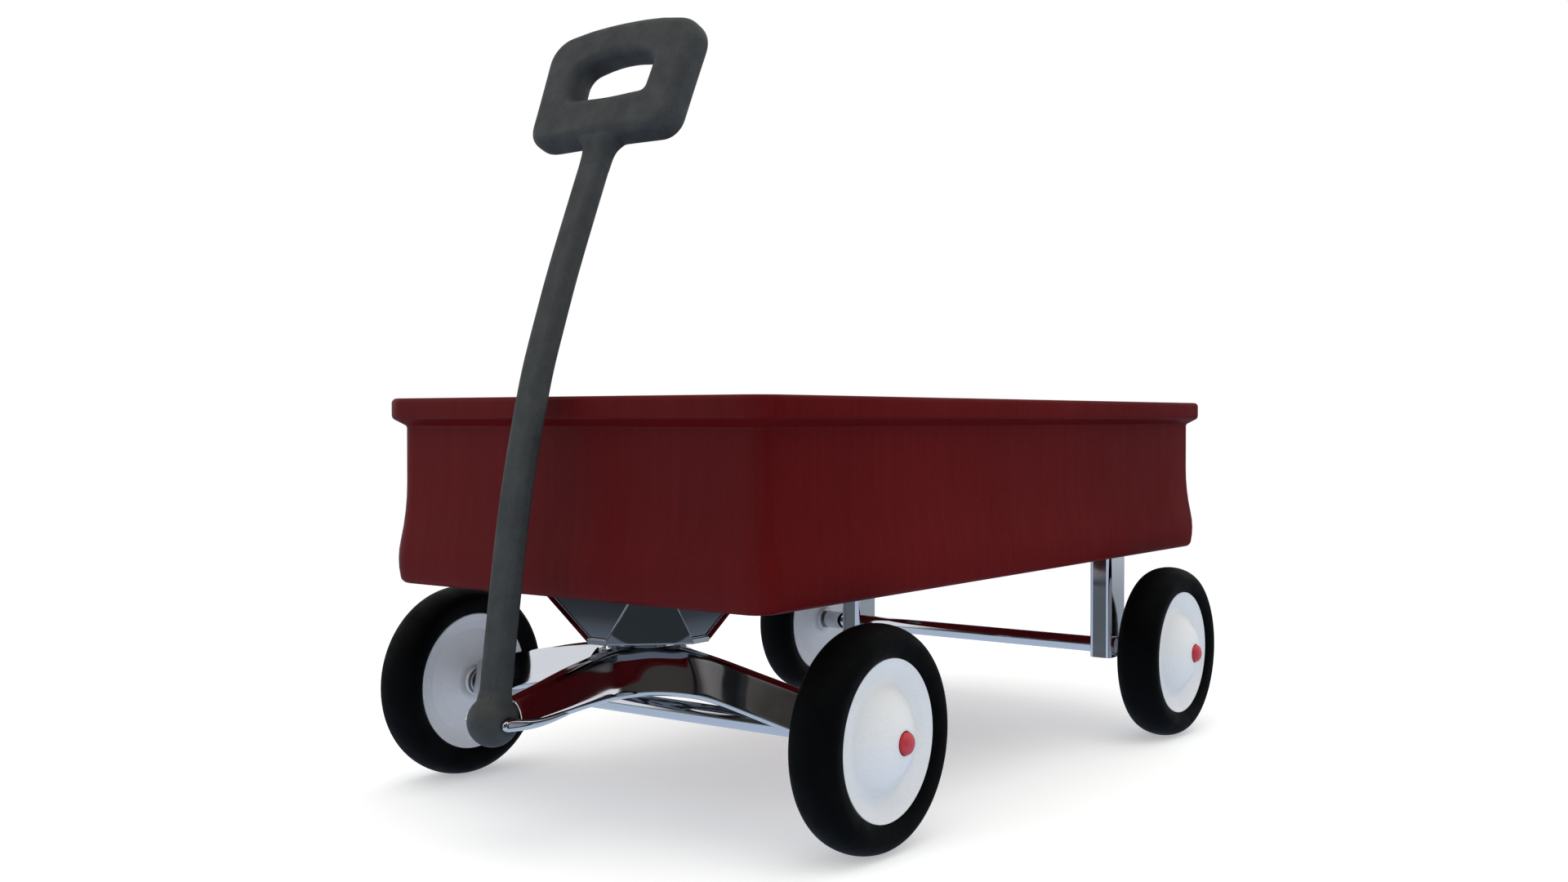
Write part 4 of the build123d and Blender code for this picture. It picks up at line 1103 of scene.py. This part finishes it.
# ======================================================== stage, light, camera
def env_colour(n, dx, dy, dz, near):
    """What polished metal sees of the studio, by direction: dark screens round the
    near side, paler ones behind, a pale cool sweep below and a bright ceiling."""
    warm = (0.040, 0.035, 0.032)
    pale = (0.93, 0.95, 0.98)
    side = n.ramp(n.mrange(near, -1.0, 1.0, 0.0, 1.0), [(0.0, pale), (0.605, (0.90, 0.92, 0.96)), (0.645, (0.20, 0.19, 0.19)), (0.68, warm), (1.0, (0.050, 0.045, 0.042))])
    low = n.ramp(n.mrange(near, -1.0, 1.0, 0.0, 1.0), [(0.0, (0.40, 0.44, 0.50)), (0.35, (0.32, 0.36, 0.41)), (0.62, (0.13, 0.15, 0.175)), (1.0, (0.070, 0.078, 0.090))])
    col = n.mix(n.mrange(dz, -0.11, -0.04, 1.0, 0.0), side, low)
    col = n.mix(n.mrange(dz, -0.26, -0.15, 1.0, 0.0), col, (0.50, 0.60, 0.76))
    col = n.mix(n.mrange(dz, 0.62, 0.80, 0.0, 1.0), col, (0.86, 0.85, 0.83))
    # look choice: painted shade, what metal sees straight down is dark, standing in for the shadow under the wagon
    col = n.mix(n.mrange(dz, -0.985, -0.955, 1.0, 0.0), col, (0.028, 0.034, 0.040))
    # look choice, not physical: reflections fade with each bounce
    lp = n.add("ShaderNodeLightPath")
    fall = n.ramp(n.mrange(lp.outputs["Glossy Depth"], 1.0, 3.0, 0.0, 1.0), [(0.0, (1.0, 1.0, 1.0)), (0.5, (0.34, 0.33, 0.33)), (1.0, (0.12, 0.12, 0.12))])
    return n.mix(1.0, col, fall, "MULTIPLY")


sc = bpy.context.scene
sc.view_settings.view_transform = "Standard"
sc.view_settings.look = "None"
sc.view_settings.exposure = 0.0
sc.view_settings.gamma = 1.0


def stage_floor():
    verts, faces = [], []
    radii = [0.25, 0.5, 0.8, 1.2, 1.8, 2.6, 4.0, 7.0, 12.0, 24.0, 60.0]
    verts.append((0.0, 0.0, 0.0))
    for r in radii:
        for k in range(96):
            a = 2 * math.pi * k / 96
            verts.append((r * math.cos(a), r * math.sin(a), 0.0))
    for k in range(96):
        faces.append((0, 1 + k, 1 + (k + 1) % 96))
    for i in range(len(radii) - 1):
        for k in range(96):
            a, b = 1 + i * 96 + k, 1 + i * 96 + (k + 1) % 96
            faces.append((a, a + 96, b + 96, b))
    me = bpy.data.meshes.new("studio_floor")
    me.from_pydata(verts, [], faces)
    o = bpy.data.objects.new("studio_floor", me)
    sc.collection.objects.link(o)
    m, nt = new_mat("studio_floor")
    n = N(nt)
    c = n.coords()
    lp = n.add("ShaderNodeLightPath")
    geo = n.add("ShaderNodeNewGeometry")
    inc = n.add("ShaderNodeSeparateXYZ")
    n.link(geo.outputs["Incoming"], inc.inputs[0])
    # seen by the camera: matt white sweep that fades to pure white away from the wagon
    dif = n.add("ShaderNodeBsdfDiffuse")
    n.link(n.ramp(n.noise(c, 3.0, 3.0), [(0.3, (0.78, 0.79, 0.80)), (0.7, (0.80, 0.81, 0.82))]), dif.inputs["Color"])
    em = n.add("ShaderNodeEmission")
    em.inputs["Color"].default_value = (0.95, 0.97, 1.0, 1.0)
    em.inputs["Strength"].default_value = 0.40
    add = n.add("ShaderNodeAddShader")
    n.link(dif.outputs[0], add.inputs[0])
    n.link(em.outputs[0], add.inputs[1])
    white = n.add("ShaderNodeEmission")
    white.inputs["Color"].default_value = (1.0, 1.0, 1.0, 1.0)
    pos = n.add("ShaderNodeVectorMath", operation="LENGTH")
    n.link(geo.outputs["Position"], pos.inputs[0])
    fade = n.mrange(pos.outputs["Value"], 0.75, 2.2, 0.0, 1.0)
    seen = n.add("ShaderNodeMixShader")
    n.link(fade, seen.inputs[0])
    n.link(add.outputs[0], seen.inputs[1])
    n.link(white.outputs[0], seen.inputs[2])
    # seen in polished metal
    neg = lambda x: n.math("MULTIPLY", x, -1.0)
    dx, dy, dz = neg(inc.outputs["X"]), neg(inc.outputs["Y"]), neg(inc.outputs["Z"])
    near = n.math("ADD", n.math("MULTIPLY", dx, 0.801), n.math("MULTIPLY", dy, 0.598))
    refl = n.add("ShaderNodeEmission")
    n.link(env_colour(n, dx, dy, dz, near), refl.inputs["Color"])
    # light it throws back up
    bounce = n.add("ShaderNodeBsdfDiffuse")
    bounce.inputs["Color"].default_value = (0.55, 0.62, 0.74, 1.0)
    be = n.add("ShaderNodeEmission")
    be.inputs["Color"].default_value = (0.66, 0.78, 1.0, 1.0)
    be.inputs["Strength"].default_value = 0.42
    ba = n.add("ShaderNodeAddShader")
    n.link(bounce.outputs[0], ba.inputs[0])
    n.link(be.outputs[0], ba.inputs[1])
    g = n.add("ShaderNodeMixShader")
    n.link(lp.outputs["Is Glossy Ray"], g.inputs[0])
    n.link(ba.outputs[0], g.inputs[1])
    n.link(refl.outputs[0], g.inputs[2])
    out = n.add("ShaderNodeMixShader")
    n.link(lp.outputs["Is Camera Ray"], out.inputs[0])
    n.link(g.outputs[0], out.inputs[1])
    n.link(seen.outputs[0], out.inputs[2])
    mo = n.add("ShaderNodeOutputMaterial")
    n.link(out.outputs[0], mo.inputs["Surface"])
    me.materials.append(m)
    return o


stage_floor()

w = bpy.data.worlds.new("studio")
sc.world = w
w.use_nodes = True
nt = w.node_tree
for x in list(nt.nodes):
    nt.nodes.remove(x)
n = N(nt)
lp = n.add("ShaderNodeLightPath")
tc = n.add("ShaderNodeTexCoord")
sep = n.add("ShaderNodeSeparateXYZ")
n.link(tc.outputs["Generated"], sep.inputs[0])
dx, dy, dz = sep.outputs["X"], sep.outputs["Y"], sep.outputs["Z"]
near = n.math("ADD", n.math("MULTIPLY", dx, 0.801), n.math("MULTIPLY", dy, 0.598))
bg_g = n.add("ShaderNodeBackground")
n.link(env_colour(n, dx, dy, dz, near), bg_g.inputs["Color"])
bg_d = n.add("ShaderNodeBackground")
n.link(n.ramp(n.mrange(dz, -0.1, 0.9, 0.0, 1.0), [(0.0, (0.62, 0.64, 0.68)), (0.35, (0.86, 0.86, 0.85)), (1.0, (1.12, 1.09, 1.02))]), bg_d.inputs["Color"])
bg_d.inputs["Strength"].default_value = 0.88
bg_c = n.add("ShaderNodeBackground")
bg_c.inputs["Color"].default_value = (1.0, 1.0, 1.0, 1.0)
m1 = n.add("ShaderNodeMixShader")
n.link(lp.outputs["Is Glossy Ray"], m1.inputs[0])
n.link(bg_d.outputs[0], m1.inputs[1])
n.link(bg_g.outputs[0], m1.inputs[2])
mx = n.add("ShaderNodeMixShader")
n.link(lp.outputs["Is Camera Ray"], mx.inputs[0])
n.link(m1.outputs[0], mx.inputs[1])
n.link(bg_c.outputs[0], mx.inputs[2])
wo = n.add("ShaderNodeOutputWorld")
n.link(mx.outputs[0], wo.inputs["Surface"])


def area(name, loc, target, size, power, color=(1, 1, 1), size_y=None, glossy=False):
    l = bpy.data.lights.new(name, "AREA")
    l.energy = power
    l.color = color
    l.shape = "RECTANGLE"
    l.size, l.size_y = size, size_y or size
    o = bpy.data.objects.new(name, l)
    sc.collection.objects.link(o)
    o.location = loc
    o.rotation_mode = "QUATERNION"
    o.rotation_quaternion = (Vector(target) - Vector(loc)).to_track_quat("-Z", "Y")
    o.visible_glossy = glossy
    o.visible_camera = False
    return o


area("key_top", (0.2, 0.3, 3.0), (0, 0, 0.2), 3.0, 26.0, (1.0, 0.985, 0.95))

cam = bpy.data.cameras.new("camera")
cam.sensor_width = 36.0
cam.lens = 1909.22 / 1920 * 36.0
cam.clip_start, cam.clip_end = 0.01, 60.0
co = bpy.data.objects.new("camera", cam)
sc.collection.objects.link(co)
co.location = (XF + 1.10502, 0.98837, 0.37022)
yaw, pitch = math.radians(-143.25), math.radians(-0.82)
d = Vector((math.cos(yaw) * math.cos(pitch), math.sin(yaw) * math.cos(pitch), math.sin(pitch)))
co.rotation_mode = "QUATERNION"
co.rotation_quaternion = d.to_track_quat("-Z", "Y")
sc.camera = co
